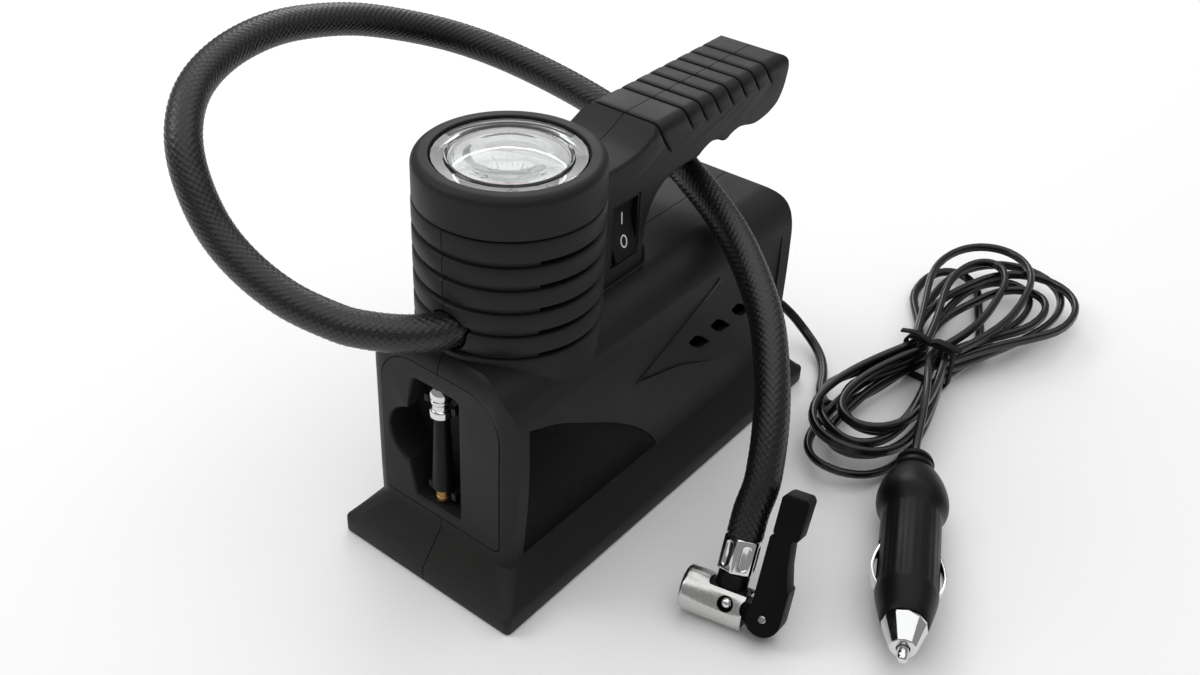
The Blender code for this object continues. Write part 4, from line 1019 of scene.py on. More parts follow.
@dataclass
class StoragePanel:
    """The panel let into the front face, with the keyhole pocket behind it."""

    half: float = 0.0254
    foot: float = 0.022
    arch: tuple[float, float, float] = (0.0114, 0.0672, 0.014)
    face: float = -0.0819
    bulge: tuple[float, float, float] = (-0.0112, 0.0498, 0.0114)
    pocket_x: Pair = (-0.0114, 0.0086)
    pocket_z: Pair = (0.0254, 0.0748)

    def outline(self, grow: float = 0.0) -> list[Pair]:
        """Return the panel's outline as (x, z): nearly square at the foot and arched on top."""
        x, z, radius = self.arch
        half, foot, small = self.half + grow, self.foot - grow, 0.0025
        low = arc(small, -90, 0, 5, (half - small, foot + small))
        right = low + arc(radius + grow, 0, 90, 12, (x, z))
        return right + [(-a, b) for a, b in reversed(right)]

    def pocket(self, grow: float = 0.0) -> list[Pair]:
        """Return the keyhole pocket's outline as (x, z), with rounded corners."""
        (x0, x1), (z0, z1) = self.pocket_x, self.pocket_z
        x, z, radius = self.bulge
        r = 0.002
        x0, x1, z0, z1 = x0 - grow, x1 + grow, z0 - grow, z1 + grow
        points = arc(r, -90, 0, 4, (x1 - r, z0 + r)) + arc(r, 0, 90, 4, (x1 - r, z1 - r))
        points += arc(r, 90, 180, 4, (x0 + r, z1 - r)) + arc(radius + grow, 105, 255, 20, (x, z))
        return points + arc(r, 180, 270, 4, (x0 + r, z0 + r))

    def build(self) -> None:
        """Build the panel, sink its pocket and roll the pocket's rim."""
        panel = block("storage_panel", self.outline(), Axis.Y, self.face, self.face + 0.0024)
        with editing(panel):
            mesh = bmesh.from_edit_mesh(panel.data)
            for edge in mesh.edges:
                edge.select = all(abs(v.co.y - self.face) < 0.00001 for v in edge.verts)
            mesh.select_flush_mode()
            bmesh.update_edit_mesh(panel.data)
            bpy.ops.mesh.bevel(offset=0.0004, segments=2, affect="EDGES")
        combine(panel, block("tub", self.pocket(0.0016), Axis.Y, self.face + 0.0012, -0.0664), Join.ADD)
        deep = block("pocket_hollow", self.pocket(), Axis.Y, self.face + 0.0009, -0.068)
        mouth = lofted("pocket_mouth", [[(x, y, z) for x, z in self.pocket(grow)]
                                        for grow, y in ((0.002, self.face - 0.001), (0.001, self.face),
                                                        (0.0005, self.face + 0.00012),
                                                        (0.00015, self.face + 0.00045),
                                                        (0.0, self.face + 0.001))])
        combine(panel, mouth, Join.TAKE)
        combine(panel, deep, Join.TAKE)
        for x, z in ((-0.0078, 0.03), (0.0024, 0.03), (-0.0086, 0.066), (0.0032, 0.066)):
            finger = block("clip", rounded(0.0009, 0.0014, 0.00035, 3), Axis.Y, -0.0784, -0.0674)
            finger.data.transform(Matrix.Translation((x, 0.0, z)))
            combine(panel, finger, Join.ADD)
        settle(panel, "base", SHELL, Slot.SHELL, "front_panel")


# ---------------------------------------------------------------- gauge and switch
@dataclass
class Gauge:
    """The pressure gauge in the tower's head: bezel, domed window, dish, dial and pointer."""

    y: float = -0.0484
    low: float = 0.1321
    radius: float = 0.03
    window: float = 0.0252
    dome: float = 0.0194
    dial_z: float = 0.1322
    dial_radius: float = 0.0238
    sweep: Pair = (225.0, -45.0)
    numbers: tuple[int, ...] = (0, 2, 4, 6, 8, 10)

    def place(self) -> Matrix:
        """Return the gauge's own placement on the tower's axis."""
        return Matrix.Translation((0.0, self.y, 0.0))

    def bezel(self) -> None:
        """Build the bezel: straight skirt, rolled shoulder, flat rim and a step down to the window."""
        low, r = self.low, self.radius
        profile = [(0.0256, low), (r - 0.0008, low), (r - 0.0002, low + 0.00025), (r, low + 0.0008),
                   *arc(0.003, 0, 90, 10, (r - 0.003, 0.143)), (0.0254, 0.146),
                   *arc(0.0005, 90, 180, 4, (0.0249, 0.1455)), (0.0244, 0.143), (0.0256, 0.143)]
        settle(turned("bezel_ring", profile, self.place(), 128), "base", SHELL, Slot.SHELL, "gauge_bezel")

    def lens(self) -> None:
        """Build the window: a flat flange, a moulded ring and a shallow dome with a concentric step."""
        r, d = self.window, self.dome
        top = [(r, 0.1427), (0.024, 0.1427), (0.024, 0.1449), (0.0237, 0.1452), (0.021, 0.1447),
               (d + 0.0006, 0.1445), (d + 0.00025, 0.145), (d - 0.0002, 0.1452), (d - 0.0007, 0.1448)]
        crown = [(radius, 0.1446 + 0.0012 * (1 - (radius / d) ** 2))
                 for radius in np.linspace(d - 0.0012, 0.0, 16)]
        step = [(radius, z + (0.00018 if radius < 0.0132 else 0.0)) for radius, z in crown]
        under = [(0.0, 0.1434), (0.012, 0.1432), (d - 0.0006, 0.1426), (r, 0.1422)]
        window = turned("gauge_window", [*top, *step, *under], self.place(), 128)
        settle(window, "base", WINDOW, Slot.LENS, "gauge_lens", degrees=50.0)

    def dish(self) -> None:
        """Build the dark grey dish and the bright ring between window and dial."""
        profile = [(0.0241, 0.1419), (0.025, 0.1419), (0.025, 0.1389), (0.0242, 0.1382), (0.0201, 0.1346),
                   (0.0196, 0.1332), (0.0189, 0.1332), (0.0189, 0.134), (0.0195, 0.1352), (0.0226, 0.1406)]
        settle(turned("gauge_dish", profile, self.place(), 96), "base", DISH, Slot.DIAL)
        rim = [(0.0185, 0.133), (0.0193, 0.133), (0.0197, 0.1353), (0.0193, 0.136), (0.0187, 0.1358),
               (0.0184, 0.1346)]
        settle(turned("dial_rim", rim, self.place(), 96), "base", CHROME, Slot.CHROME)

    def scale_angle(self, share: float) -> float:
        """Return the angle of a share of the scale, in radians."""
        return math.radians(self.sweep[0] + (self.sweep[1] - self.sweep[0]) * share)

    def dial(self) -> None:
        """Build the dial and its printed marks: fifty small ones, eleven long ones and plain numbers."""
        r, z = self.dial_radius, self.dial_z
        plate = turned("dial_plate", [(0.0013, z - 0.001), (r, z - 0.001), (r, z - 0.0001), (r - 0.0001, z),
                                      (0.0014, z), (0.0013, z - 0.0001)], self.place(), 96)
        settle(plate, "base", DIAL, Slot.DIAL, "gauge_dial")
        marks = []
        for k in range(51):
            long = k % 5 == 0
            inner, half = (0.0146, 0.00022) if long else (0.016, 0.00011)
            mark = block("mark", [(inner, -half), (0.0176, -half), (0.0176, half), (inner, half)], Axis.Z,
                         z + 0.00001, z + 0.00005)
            mark.data.transform(self.place() @ Matrix.Rotation(self.scale_angle(k / 50), 4, "Z"))
            marks.append(mark)
        for number in self.numbers:
            marks.append(self.numeral(str(number), self.scale_angle(number / 10)))
        grab(*marks)
        bpy.ops.object.join()
        print_layer = bpy.context.object
        print_layer.name = print_layer.data.name = "dial_print"
        settle(print_layer, "base", INK_BLACK, Slot.DIAL)

    def numeral(self, text: str, angle: float) -> Object:
        """Return one number of the scale as a thin mesh.

        Args:
            text: The number.
            angle: Where it stands on the dial.

        Returns:
            The mesh, in place.
        """
        clear_selection()
        bpy.ops.object.text_add(location=(0.0, 0.0, 0.0))
        words = bpy.context.object
        words.data.body = text
        words.data.size = 0.004
        words.data.align_x, words.data.align_y = "CENTER", "CENTER"
        words.data.extrude = 0.00002
        bpy.ops.object.convert(target="MESH")
        made = bpy.context.object
        reach = 0.0118
        made.data.transform(Matrix.Translation((reach * math.cos(angle), self.y + reach * math.sin(angle),
                                                self.dial_z + 0.00003)))
        return made

    def pointer(self) -> None:
        """Build the pointer: a tapered hand on a stepped hub."""
        z = self.dial_z
        hub = turned("pointer", [(0.0, 0.118), (0.0009, 0.118), (0.0009, z + 0.0008), (0.0019, z + 0.0008),
                                 (0.0019, z + 0.0019), (0.0016, z + 0.0023), (0.0, z + 0.0024)],
                     self.place(), 48)
        hand = block("hand", [(-0.006, -0.0011), (-0.0054, -0.0012), (0.016, -0.0004), (0.0182, 0.0),
                              (0.016, 0.0004), (-0.0054, 0.0012), (-0.006, 0.0011)], Axis.Z,
                     z + 0.0011, z + 0.0017)
        soften(hand, 0.00012, 2, 50.0)
        hand.data.transform(self.place() @ Matrix.Rotation(math.radians(-135), 4, "Z"))
        settle(combine(hub, hand, Join.ADD), "needle", NEEDLE, Slot.NEEDLE, "gauge_needle")

    def build(self) -> None:
        """Build the gauge."""
        for part in (self.bezel, self.lens, self.dish, self.dial, self.pointer):
            part()


@dataclass
class Switch:
    """The rocker switch in the neck's right cheek, at rest with its lower end out."""

    y: float = -0.008
    z: float = 0.1065
    pivot_x: float = 0.0126
    face_x: float = 0.0153
    tilt: float = math.radians(9.0)

    def frame(self) -> None:
        """Build the frame: a shallow cup with a thin rounded lip and two tabs behind."""
        y, z = self.y, self.z
        cup = block("switch_cup", [(a + y, b + z) for a, b in rounded(0.0072, 0.0114, 0.0008, 4)], Axis.X,
                    -0.0025, self.face_x)
        soften(cup, 0.00025, 2, 60.0)
        combine(cup, block("mouth", [(a + y, b + z) for a, b in rounded(0.0064, 0.0109, 0.0005, 3)], Axis.X,
                           0.0015, 0.02), Join.TAKE)
        tab_corners = ((-0.0004, -0.0024), (0.0004, -0.0024), (0.0004, 0.0024), (-0.0004, 0.0024))
        for side in (-1, 1):
            outline = [(y + side * 0.0032 + a, z - 0.006 + b) for a, b in tab_corners]
            tab = block("tab", outline, Axis.X, -0.0086, -0.002)
            combine(cup, tab, Join.ADD)
        settle(cup, "base", BLACK, Slot.BLACK, "switch_frame")

    def face_point(self, height: float, lift: float) -> Point:
        """Return a point on the rocker's face.

        Args:
            height: Distance above the pivot along the rocker.
            lift: How far in front of the face it lies.

        Returns:
            The point.
        """
        bow = 0.0015 + 0.0014 * (height / 0.0103) ** 2 + lift
        cos, sin = math.cos(self.tilt), math.sin(self.tilt)
        return (self.pivot_x + bow * cos - height * sin, self.y, self.z + height * cos + bow * sin)

    def rocker(self) -> None:
        """Build the rocker with its hollow face, and the two plain marks on it."""
        front = [self.face_point(h, 0.0) for h in np.linspace(0.0103, -0.0103, 17)]
        cos, sin = math.cos(self.tilt), math.sin(self.tilt)
        back = [(self.pivot_x + u * cos - v * sin, 0.0, self.z + v * cos + u * sin)
                for u, v in ((-0.0006, -0.01), (-0.0036, -0.0034), (-0.0036, 0.0034), (-0.0006, 0.01))]
        outline = [(x, z) for x, _, z in [*front, *back]]
        rocker = block("rocker", outline, Axis.Y, self.y - 0.006, self.y + 0.006)
        soften(rocker, 0.00035, 3, 45.0)
        settle(rocker, "rocker", BLACK, Slot.BLACK, "switch_rocker")
        self.mark("mark_on", [[(-0.00028, 0.0016), (0.00028, 0.0016), (0.00028, 0.006), (-0.00028, 0.006)]])
        circle = arc(1.0, 0, 360, 32)[:-1]
        outer, inner = ([(wide * c, -0.0046 + high * s) for c, s in circle]
                        for wide, high in ((0.0017, 0.0023), (0.00115, 0.00175)))
        self.mark("mark_off", [outer, inner])

    def mark(self, name: str, loops: list[list[Pair]]) -> None:
        """Lay one white mark on the rocker's hollow face.

        Args:
            name: The mark's name.
            loops: One filled outline, or an outer and an inner one, as (across, height).
        """
        def lay(loop: list[Pair], lift: float) -> list[Point]:
            """Return a loop laid on the face, lifted off it by some distance."""
            spots = [(across, self.face_point(height, lift)) for across, height in loop]
            return [(x, y + across, z) for across, (x, y, z) in spots]

        shape = lofted(name, [lay(loops[0], -0.0002), lay(loops[0], 0.00005)])
        if len(loops) > 1:
            combine(shape, lofted("inside", [lay(loops[1], -0.0006), lay(loops[1], 0.0006)]), Join.TAKE)
        settle(shape, "rocker", INK_WHITE, Slot.DIAL)

    def build(self) -> None:
        """Build the switch."""
        self.frame()
        self.rocker()


@dataclass
class Adapter:
    """The tapered nozzle that stands in the pocket: chromed collar, black cone and brass tip."""

    axis: Pair = (-0.0027, -0.0776)

    def build(self) -> None:
        """Build its three parts."""
        place = Matrix.Translation((*self.axis, 0.0))
        tip = [(0.0, 0.0258), (0.0015, 0.0258), (0.0022, 0.0262), (0.0025, 0.0268), (0.0025, 0.0282),
               (0.00225, 0.0284), (0.00225, 0.029), (0.0025, 0.0292), (0.0025, 0.0314), (0.0012, 0.0314),
               (0.0012, 0.036), (0.0, 0.036)]
        settle(turned("nozzle_tip", tip, place, 48), "adapter", BRASS, Slot.BRASS, "adapter_tip")
        cone = [(0.0015, 0.0317), (0.0035, 0.0317), (0.0038, 0.0321), (0.0038, 0.033), (0.0032, 0.047),
                (0.00265, 0.0608), (0.0024, 0.0616), (0.0015, 0.0616)]
        settle(turned("nozzle_cone", cone, place, 48), "adapter", BLACK, Slot.BLACK, "adapter_cone")
        collar = [(0.0, 0.05), (0.0012, 0.05), (0.0012, 0.0619), (0.0036, 0.0619), (0.0039, 0.0623),
                  (0.0039, 0.0644), (0.0037, 0.0648), (0.0031, 0.0652), (0.0031, 0.067), (0.0035, 0.0673),
                  (0.0037, 0.0677), (0.0037, 0.0689), (0.0034, 0.0691), (0.0034, 0.0695), (0.0037, 0.0697),
                  (0.0037, 0.0712), (0.0033, 0.0719), (0.0024, 0.073), (0.0, 0.073)]
        settle(turned("nozzle_collar", collar, place, 48), "adapter", CHROME, Slot.CHROME, "adapter_collar")


# ---------------------------------------------------------------- hose and chuck
CHUCK_MIDDLE = (0.0864, -0.0389, 0.0087)
CHUCK_AXIS = (0.975, 0.221, 0.0)
CHUCK_UP = (-0.109, 0.481, 0.870)
PLUG_TIP = (0.1424, -0.028, 0.0127)
PLUG_BACK = (-0.414, 0.910, 0.0)


@dataclass
class AirHose:
    """The braided hose: out of the tower, round one wide loop, under the handle, down to the chuck."""

    diameter: float = 0.012
    strands: int = 16
    pitch: float = 0.00236
    rise: float = 0.0004
    around: int = 72
    ring_step: float = 0.0005
    path: tuple[Point, ...] = ((0.002, -0.0685, 0.097), (0.002, -0.074, 0.097), (0.0006, -0.079, 0.0972),
                               (-0.0026, -0.0844, 0.0973), (-0.0086, -0.0899, 0.0972),
                               (-0.018, -0.095, 0.097), (-0.026, -0.0986, 0.0979),
                               (-0.0409, -0.1042, 0.1023), (-0.0556, -0.1076, 0.1096),
                               (-0.068, -0.1087, 0.119), (-0.0782, -0.1072, 0.1308),
                               (-0.0866, -0.1026, 0.1406), (-0.0949, -0.0936, 0.1474),
                               (-0.1016, -0.0816, 0.1514), (-0.106, -0.066, 0.154),
                               (-0.1085, -0.0475, 0.1542), (-0.109, -0.0291, 0.1516),
                               (-0.1078, -0.0088, 0.1466), (-0.1036, 0.0106, 0.1396),
                               (-0.0954, 0.026, 0.1332), (-0.0836, 0.0369, 0.1274), (-0.069, 0.0446, 0.1216),
                               (-0.052, 0.0496, 0.116), (-0.034, 0.0516, 0.1108), (-0.017, 0.0512, 0.106),
                               (-0.0006, 0.0484, 0.1018), (0.0061, 0.0462, 0.0998), (0.0179, 0.0414, 0.0964),
                               (0.0297, 0.0355, 0.093), (0.0394, 0.0294, 0.0895), (0.0485, 0.0228, 0.0856),
                               (0.0557, 0.0171, 0.0819), (0.0617, 0.0115, 0.0779), (0.0672, 0.0053, 0.0729),
                               (0.0721, -0.0006, 0.0673), (0.076, -0.006, 0.0614), (0.079, -0.0109, 0.0553),
                               (0.0813, -0.0154, 0.049), (0.0828, -0.0194, 0.0428))
    stops: Pair = (0.0307, 0.0225)

    def centreline(self) -> list[tuple[float, ...]]:
        """Return the hose's path, evenly stepped."""
        points = [*self.path, *(along(CHUCK_MIDDLE, CHUCK_UP, d) for d in self.stops)]
        line = np.array(smooth_line(points, 24))
        reach = np.concatenate([[0.0], np.cumsum(np.linalg.norm(np.diff(line, axis=0), axis=1))])
        even = np.linspace(0.0, reach[-1], int(reach[-1] / self.ring_step) + 1)
        return [tuple(float(np.interp(d, reach, line[:, axis])) for axis in range(3)) for d in even]

    def braid(self, hose: Object, rows: int) -> None:
        """Raise the braid on a plain tube and keep each point's height and place across its bundle.

        Args:
            hose: The tube, its points in rows.
            rows: The number of rows.
        """
        mesh = hose.data
        place = np.zeros(len(mesh.vertices) * 3)
        mesh.vertices.foreach_get("co", place)
        place = place.reshape(rows, self.around, 3)
        row, turn = np.meshgrid(np.arange(rows) * self.ring_step / self.pitch,
                                np.arange(self.around) * self.strands / self.around, indexing="ij")
        one, two = row + turn, row - turn
        ridge_one, ridge_two = np.abs(np.sin(np.pi * one)), np.abs(np.sin(np.pi * two))
        sign_one, sign_two = 1 - 2 * (np.floor(one) % 2), 1 - 2 * (np.floor(two) % 2)
        high_one = ridge_one * (0.5 + 0.5 * sign_one * np.sin(np.pi * two))
        high_two = ridge_two * (0.5 - 0.5 * sign_two * np.sin(np.pi * one))
        height = np.maximum(high_one, high_two)
        across = np.where(high_one > high_two, one % 1.0, two % 1.0)
        middle = place.mean(axis=1, keepdims=True)
        outward = (place - middle) / np.linalg.norm(place - middle, axis=2, keepdims=True)
        place = place + outward * ((height - 0.75) * self.rise)[..., None]
        mesh.vertices.foreach_set("co", place.reshape(-1))
        for name, values in (("braid_height", height), ("braid_across", across)):
            layer = mesh.attributes.new(name, "FLOAT", "POINT")
            layer.data.foreach_set("value", values.reshape(-1).astype(np.float32))
        mesh.update()

    def build(self) -> Object:
        """Build the hose.

        Returns:
            The hose.
        """
        line = self.centreline()
        section = arc(self.diameter / 2 - 0.00005, 0, 360, self.around)[:-1]
        hose = tube("hose", line, section)
        self.braid(hose, len(line))
        return settle(hose, "base", BRAID, Slot.HOSE, "air_hose", degrees=80.0)


@dataclass
class Chuck:
    """The lever chuck: pressed sleeve, body with stem, pivot pin, channel lever, seal and ferrule."""

    radius: float = 0.0076
    wall: float = 0.0011
    front: float = -0.0149
    rear: float = 0.007
    stem: float = 0.0101
    ferrule: Pair = (0.0121, 0.0114)
    pivot: float = 0.0133
    cam: float = 0.0059
    lug: float = 0.0031
    gap: float = 0.0044
    cheek: float = 0.0057
    pad: float = 0.0062
    pin: float = 0.00125
    eye: Pair = (0.001, 0.001)

    def __post_init__(self) -> None:
        """Work out the chuck's two placements."""
        self.at = frame_at(CHUCK_MIDDLE, CHUCK_AXIS, CHUCK_UP)
        self.up = frame_at(CHUCK_MIDDLE, CHUCK_UP, CHUCK_AXIS)

    def across(self, x: float, z: float) -> Matrix:
        """Return the placement of something that lies across the chuck.

        Args:
            x: Its place up the hose.
            z: Its place along the sleeve.

        Returns:
            The placement.
        """
        return self.at @ Matrix.Translation((x, 0.0, z)) @ Matrix.Rotation(-math.pi / 2, 4, "X")

    def drill(self, shape: Object, radius: float, low: float, high: float, place: Matrix) -> None:
        """Drill a round hole.

        Args:
            shape: The shape that gets the hole.
            radius: The hole's radius.
            low: Where it starts.
            high: Where it ends.
            place: The frame whose z is the hole's axis.
        """
        tool = turned("drill", [(0.0, low), (radius, low), (radius, high), (0.0, high)], place, 48)
        combine(shape, tool, Join.TAKE)

    def body(self) -> None:
        """Build the body: plug in the sleeve, round lug for the pin, hose stem and seat for the ball."""
        core, face = self.radius - self.wall - GAP, self.front + 0.0022 + GAP
        profile = [(0.0026, face), (core - 0.0003, face), (core, face + 0.0003), (core, 0.0056),
                   (core - 0.0004, 0.006), (0.0, 0.006), (0.0, 0.004), (0.0026, 0.004)]
        body = turned("chuck_core", profile, self.at, 96)
        half = self.gap - GAP
        lug = block("lug", [(-self.lug, 0.005), (self.lug, 0.005),
                            *arc(self.lug, 0, 180, 16, (0.0, self.pivot))], Axis.Y, -half, half)
        soften(lug, 0.0004, 3, 60.0)
        lug.data.transform(self.at)
        combine(body, lug, Join.ADD)
        long = self.stem + self.ferrule[0] - 0.001
        stem = turned("stem", [(0.0, 0.003), (0.0052, 0.003), (0.0052, self.stem - 0.0008),
                               (0.0046, self.stem), (0.003, self.stem), (0.003, long), (0.0, long)], self.up,
                      64)
        combine(body, stem, Join.ADD)
        self.drill(body, 0.0052, face - 0.003, face + 0.006, self.at)
        self.drill(body, 0.0015, 0.0015, 0.04, self.up)
        self.drill(body, self.pin + GAP, -0.009, 0.009, self.across(0.0, self.pivot))
        self.drill(body, 0.0026, 0.0026, 0.008, self.across(*self.eye))
        settle(body, "base", BLACK, Slot.CHROME, "chuck_body")

    def sleeve(self) -> None:
        """Build the pressed sleeve with its rolled mouth, wavy rear edge and side hole."""
        r, inner, low, high = self.radius, self.radius - self.wall, self.front, self.rear
        profile = [(0.0053, low + 0.0002), (0.0055, low), (r - 0.0016, low),
                   *arc(0.0016, -80, 0, 7, (r - 0.0016, low + 0.0016)), (r, high - 0.00025),
                   (r - 0.00025, high), (inner + 0.00025, high), (inner, high - 0.00025),
                   (inner, low + 0.0022), (0.0053, low + 0.0022)]
        sleeve = turned("chuck_shell", profile, self.at, 128)
        slot = [(0.0, -0.0057), (0.012, -0.0057), (0.012, 0.0057), (0.0, 0.0057)]
        cutter = block("stem_cut", slot, Axis.Z, -0.0064, 0.02)
        with editing(cutter):
            bpy.ops.mesh.bevel(offset=0.0012, segments=4, affect="EDGES")
        cutter.data.transform(self.at)
        combine(sleeve, cutter, Join.TAKE)
        for side in (-1, 1):
            place = self.at @ Matrix.Translation((0.0016, side * 0.008, high + 0.0022))
            self.drill(sleeve, 0.0034, -0.003, 0.003, place @ Matrix.Rotation(math.pi / 2, 4, "X"))
        self.drill(sleeve, 0.0027, 0.004, 0.012, self.across(*self.eye))
        soften(sleeve, 0.00015, 2, 50.0)
        settle(sleeve, "base", SLEEVE, Slot.STEEL, "chuck_sleeve")

    def ball(self) -> None:
        """Set the bright ball that shows in the sleeve's side hole."""
        clear_selection()
        bpy.ops.mesh.primitive_uv_sphere_add(segments=32, ring_count=20, radius=0.0021,
                                             location=(0.0, 0.0, 0.0049))
        ball = bpy.context.object
        ball.name = ball.data.name = "detent_ball"
        with editing(ball):
            bpy.ops.mesh.bisect(plane_co=(0.0, 0.0, 0.0036), plane_no=(0.0, 0.0, 1.0), use_fill=True,
                                clear_inner=True)
        bpy.ops.object.transform_apply(location=True, rotation=True, scale=True)
        ball.data.transform(self.across(*self.eye))
        settle(ball, "base", CHROME, Slot.CHROME)

    def handle(self) -> None:
        """Build the lever: a channel with a round cam at the pin and a blocky thumb pad."""
        start = math.degrees(math.asin(0.0046 / self.cam))
        cam = [(x, -z) for x, z in arc(self.cam, start, 270, 40)]
        arm = [*cam, (0.008, self.cam), (0.0104, self.cam - 0.0001), (0.0112, 0.005), (0.018, 0.0034),
               (0.0265, 0.0024), (0.0275, 0.003), (0.0275, -0.003), (0.0265, -0.0046)]
        lever = block("lever", arm, Axis.Y, -self.cheek, self.cheek)
        soften(lever, 0.0009, 4, 50.0)
        pad = [(0.0266, 0.0022), (0.0274, 0.0046), (0.0395, 0.005), (0.041, 0.004), (0.041, -0.0026),
               (0.0398, -0.004), (0.028, -0.004), (0.0266, -0.0024)]
        grip = block("pad", pad, Axis.Y, -self.pad, self.pad)
        soften(grip, 0.0006, 3, 40.0)
        combine(lever, grip, Join.ADD)
        way = [(-0.009, -0.009), (0.026, -0.009), (0.026, 0.0008), (0.018, 0.0016), (0.01, 0.0035),
               (-0.009, 0.0035)]
        combine(lever, block("way", way, Axis.Y, -self.gap, self.gap), Join.TAKE)
        soften(lever, 0.00012, 2, 50.0)
        lever.data.transform(self.at @ Matrix.Translation((0.0, 0.0, self.pivot)))
        self.drill(lever, self.pin + GAP, -0.009, 0.009, self.across(0.0, self.pivot))
        settle(lever, "lever", SHADED_LEVER, Slot.BLACK, "chuck_lever")

    def small_parts(self) -> None:
        """Build the pin with its rounded heads, the seal and the crimped ferrule."""
        end, r = self.cheek + 0.0006, self.pin
        pin = turned("pivot_pin", [(0.0, -end), (r - 0.00035, -end), (r, 0.0003 - end), (r, end - 0.0003),
                                   (r - 0.00035, end), (0.0, end)], self.across(0.0, self.pivot), 32)
        settle(pin, "base", STEEL, Slot.STEEL, "chuck_pin")
        seal = turned("valve_seal", [(0.0022, -0.0102), (0.0024, -0.0104), (0.0047, -0.0104),
                                     (0.0049, -0.0102), (0.0049, -0.0069), (0.0047, -0.0067),
                                     (0.003, -0.0067)], self.at, 48)
        settle(seal, "base", RUBBER, Slot.RUBBER, "chuck_seal")
        length, flat = self.ferrule
        corner = flat / math.sqrt(3)
        low, high = self.stem + GAP, self.stem + length
        hexagon = [(corner * math.cos(math.radians(a)), corner * math.sin(math.radians(a)))
                   for a in range(30, 390, 60)]
        ferrule = block("crimp_ferrule", hexagon, Axis.Z, low, high)
        soften(ferrule, 0.0008, 4, 40.0)
        levels = ((-0.00035, -0.0004), (-0.0001, -0.0003), (0.00015, 0.0), (0.0002, 0.001))
        lift = Matrix.Translation((0.0, 0.0, (low + high) / 2))
        for k in range(6):
            dent = lofted("dent",
                          [[(x, y, flat / 2 + z) for x, y in rounded(0.0015 + g, 0.0043 + g, 0.0014 + g, 6)]
                           for g, z in levels])
            turn = Matrix.Rotation(math.radians(60 * k), 4, "Z")
            dent.data.transform(turn @ lift @ Matrix.Rotation(math.pi / 2, 4, "Y")
                                @ Matrix.Rotation(math.pi / 2, 4, "Z"))
            combine(ferrule, dent, Join.TAKE)
        self.drill(ferrule, 0.0033, 0.0, 0.04, Matrix.Identity(4))
        ferrule.data.transform(self.up)
        settle(ferrule, "base", CHROME, Slot.CHROME, "hose_ferrule")

    def build(self) -> None:
        """Build the chuck."""
        for part in (self.body, self.sleeve, self.ball, self.handle, self.small_parts):
            part()


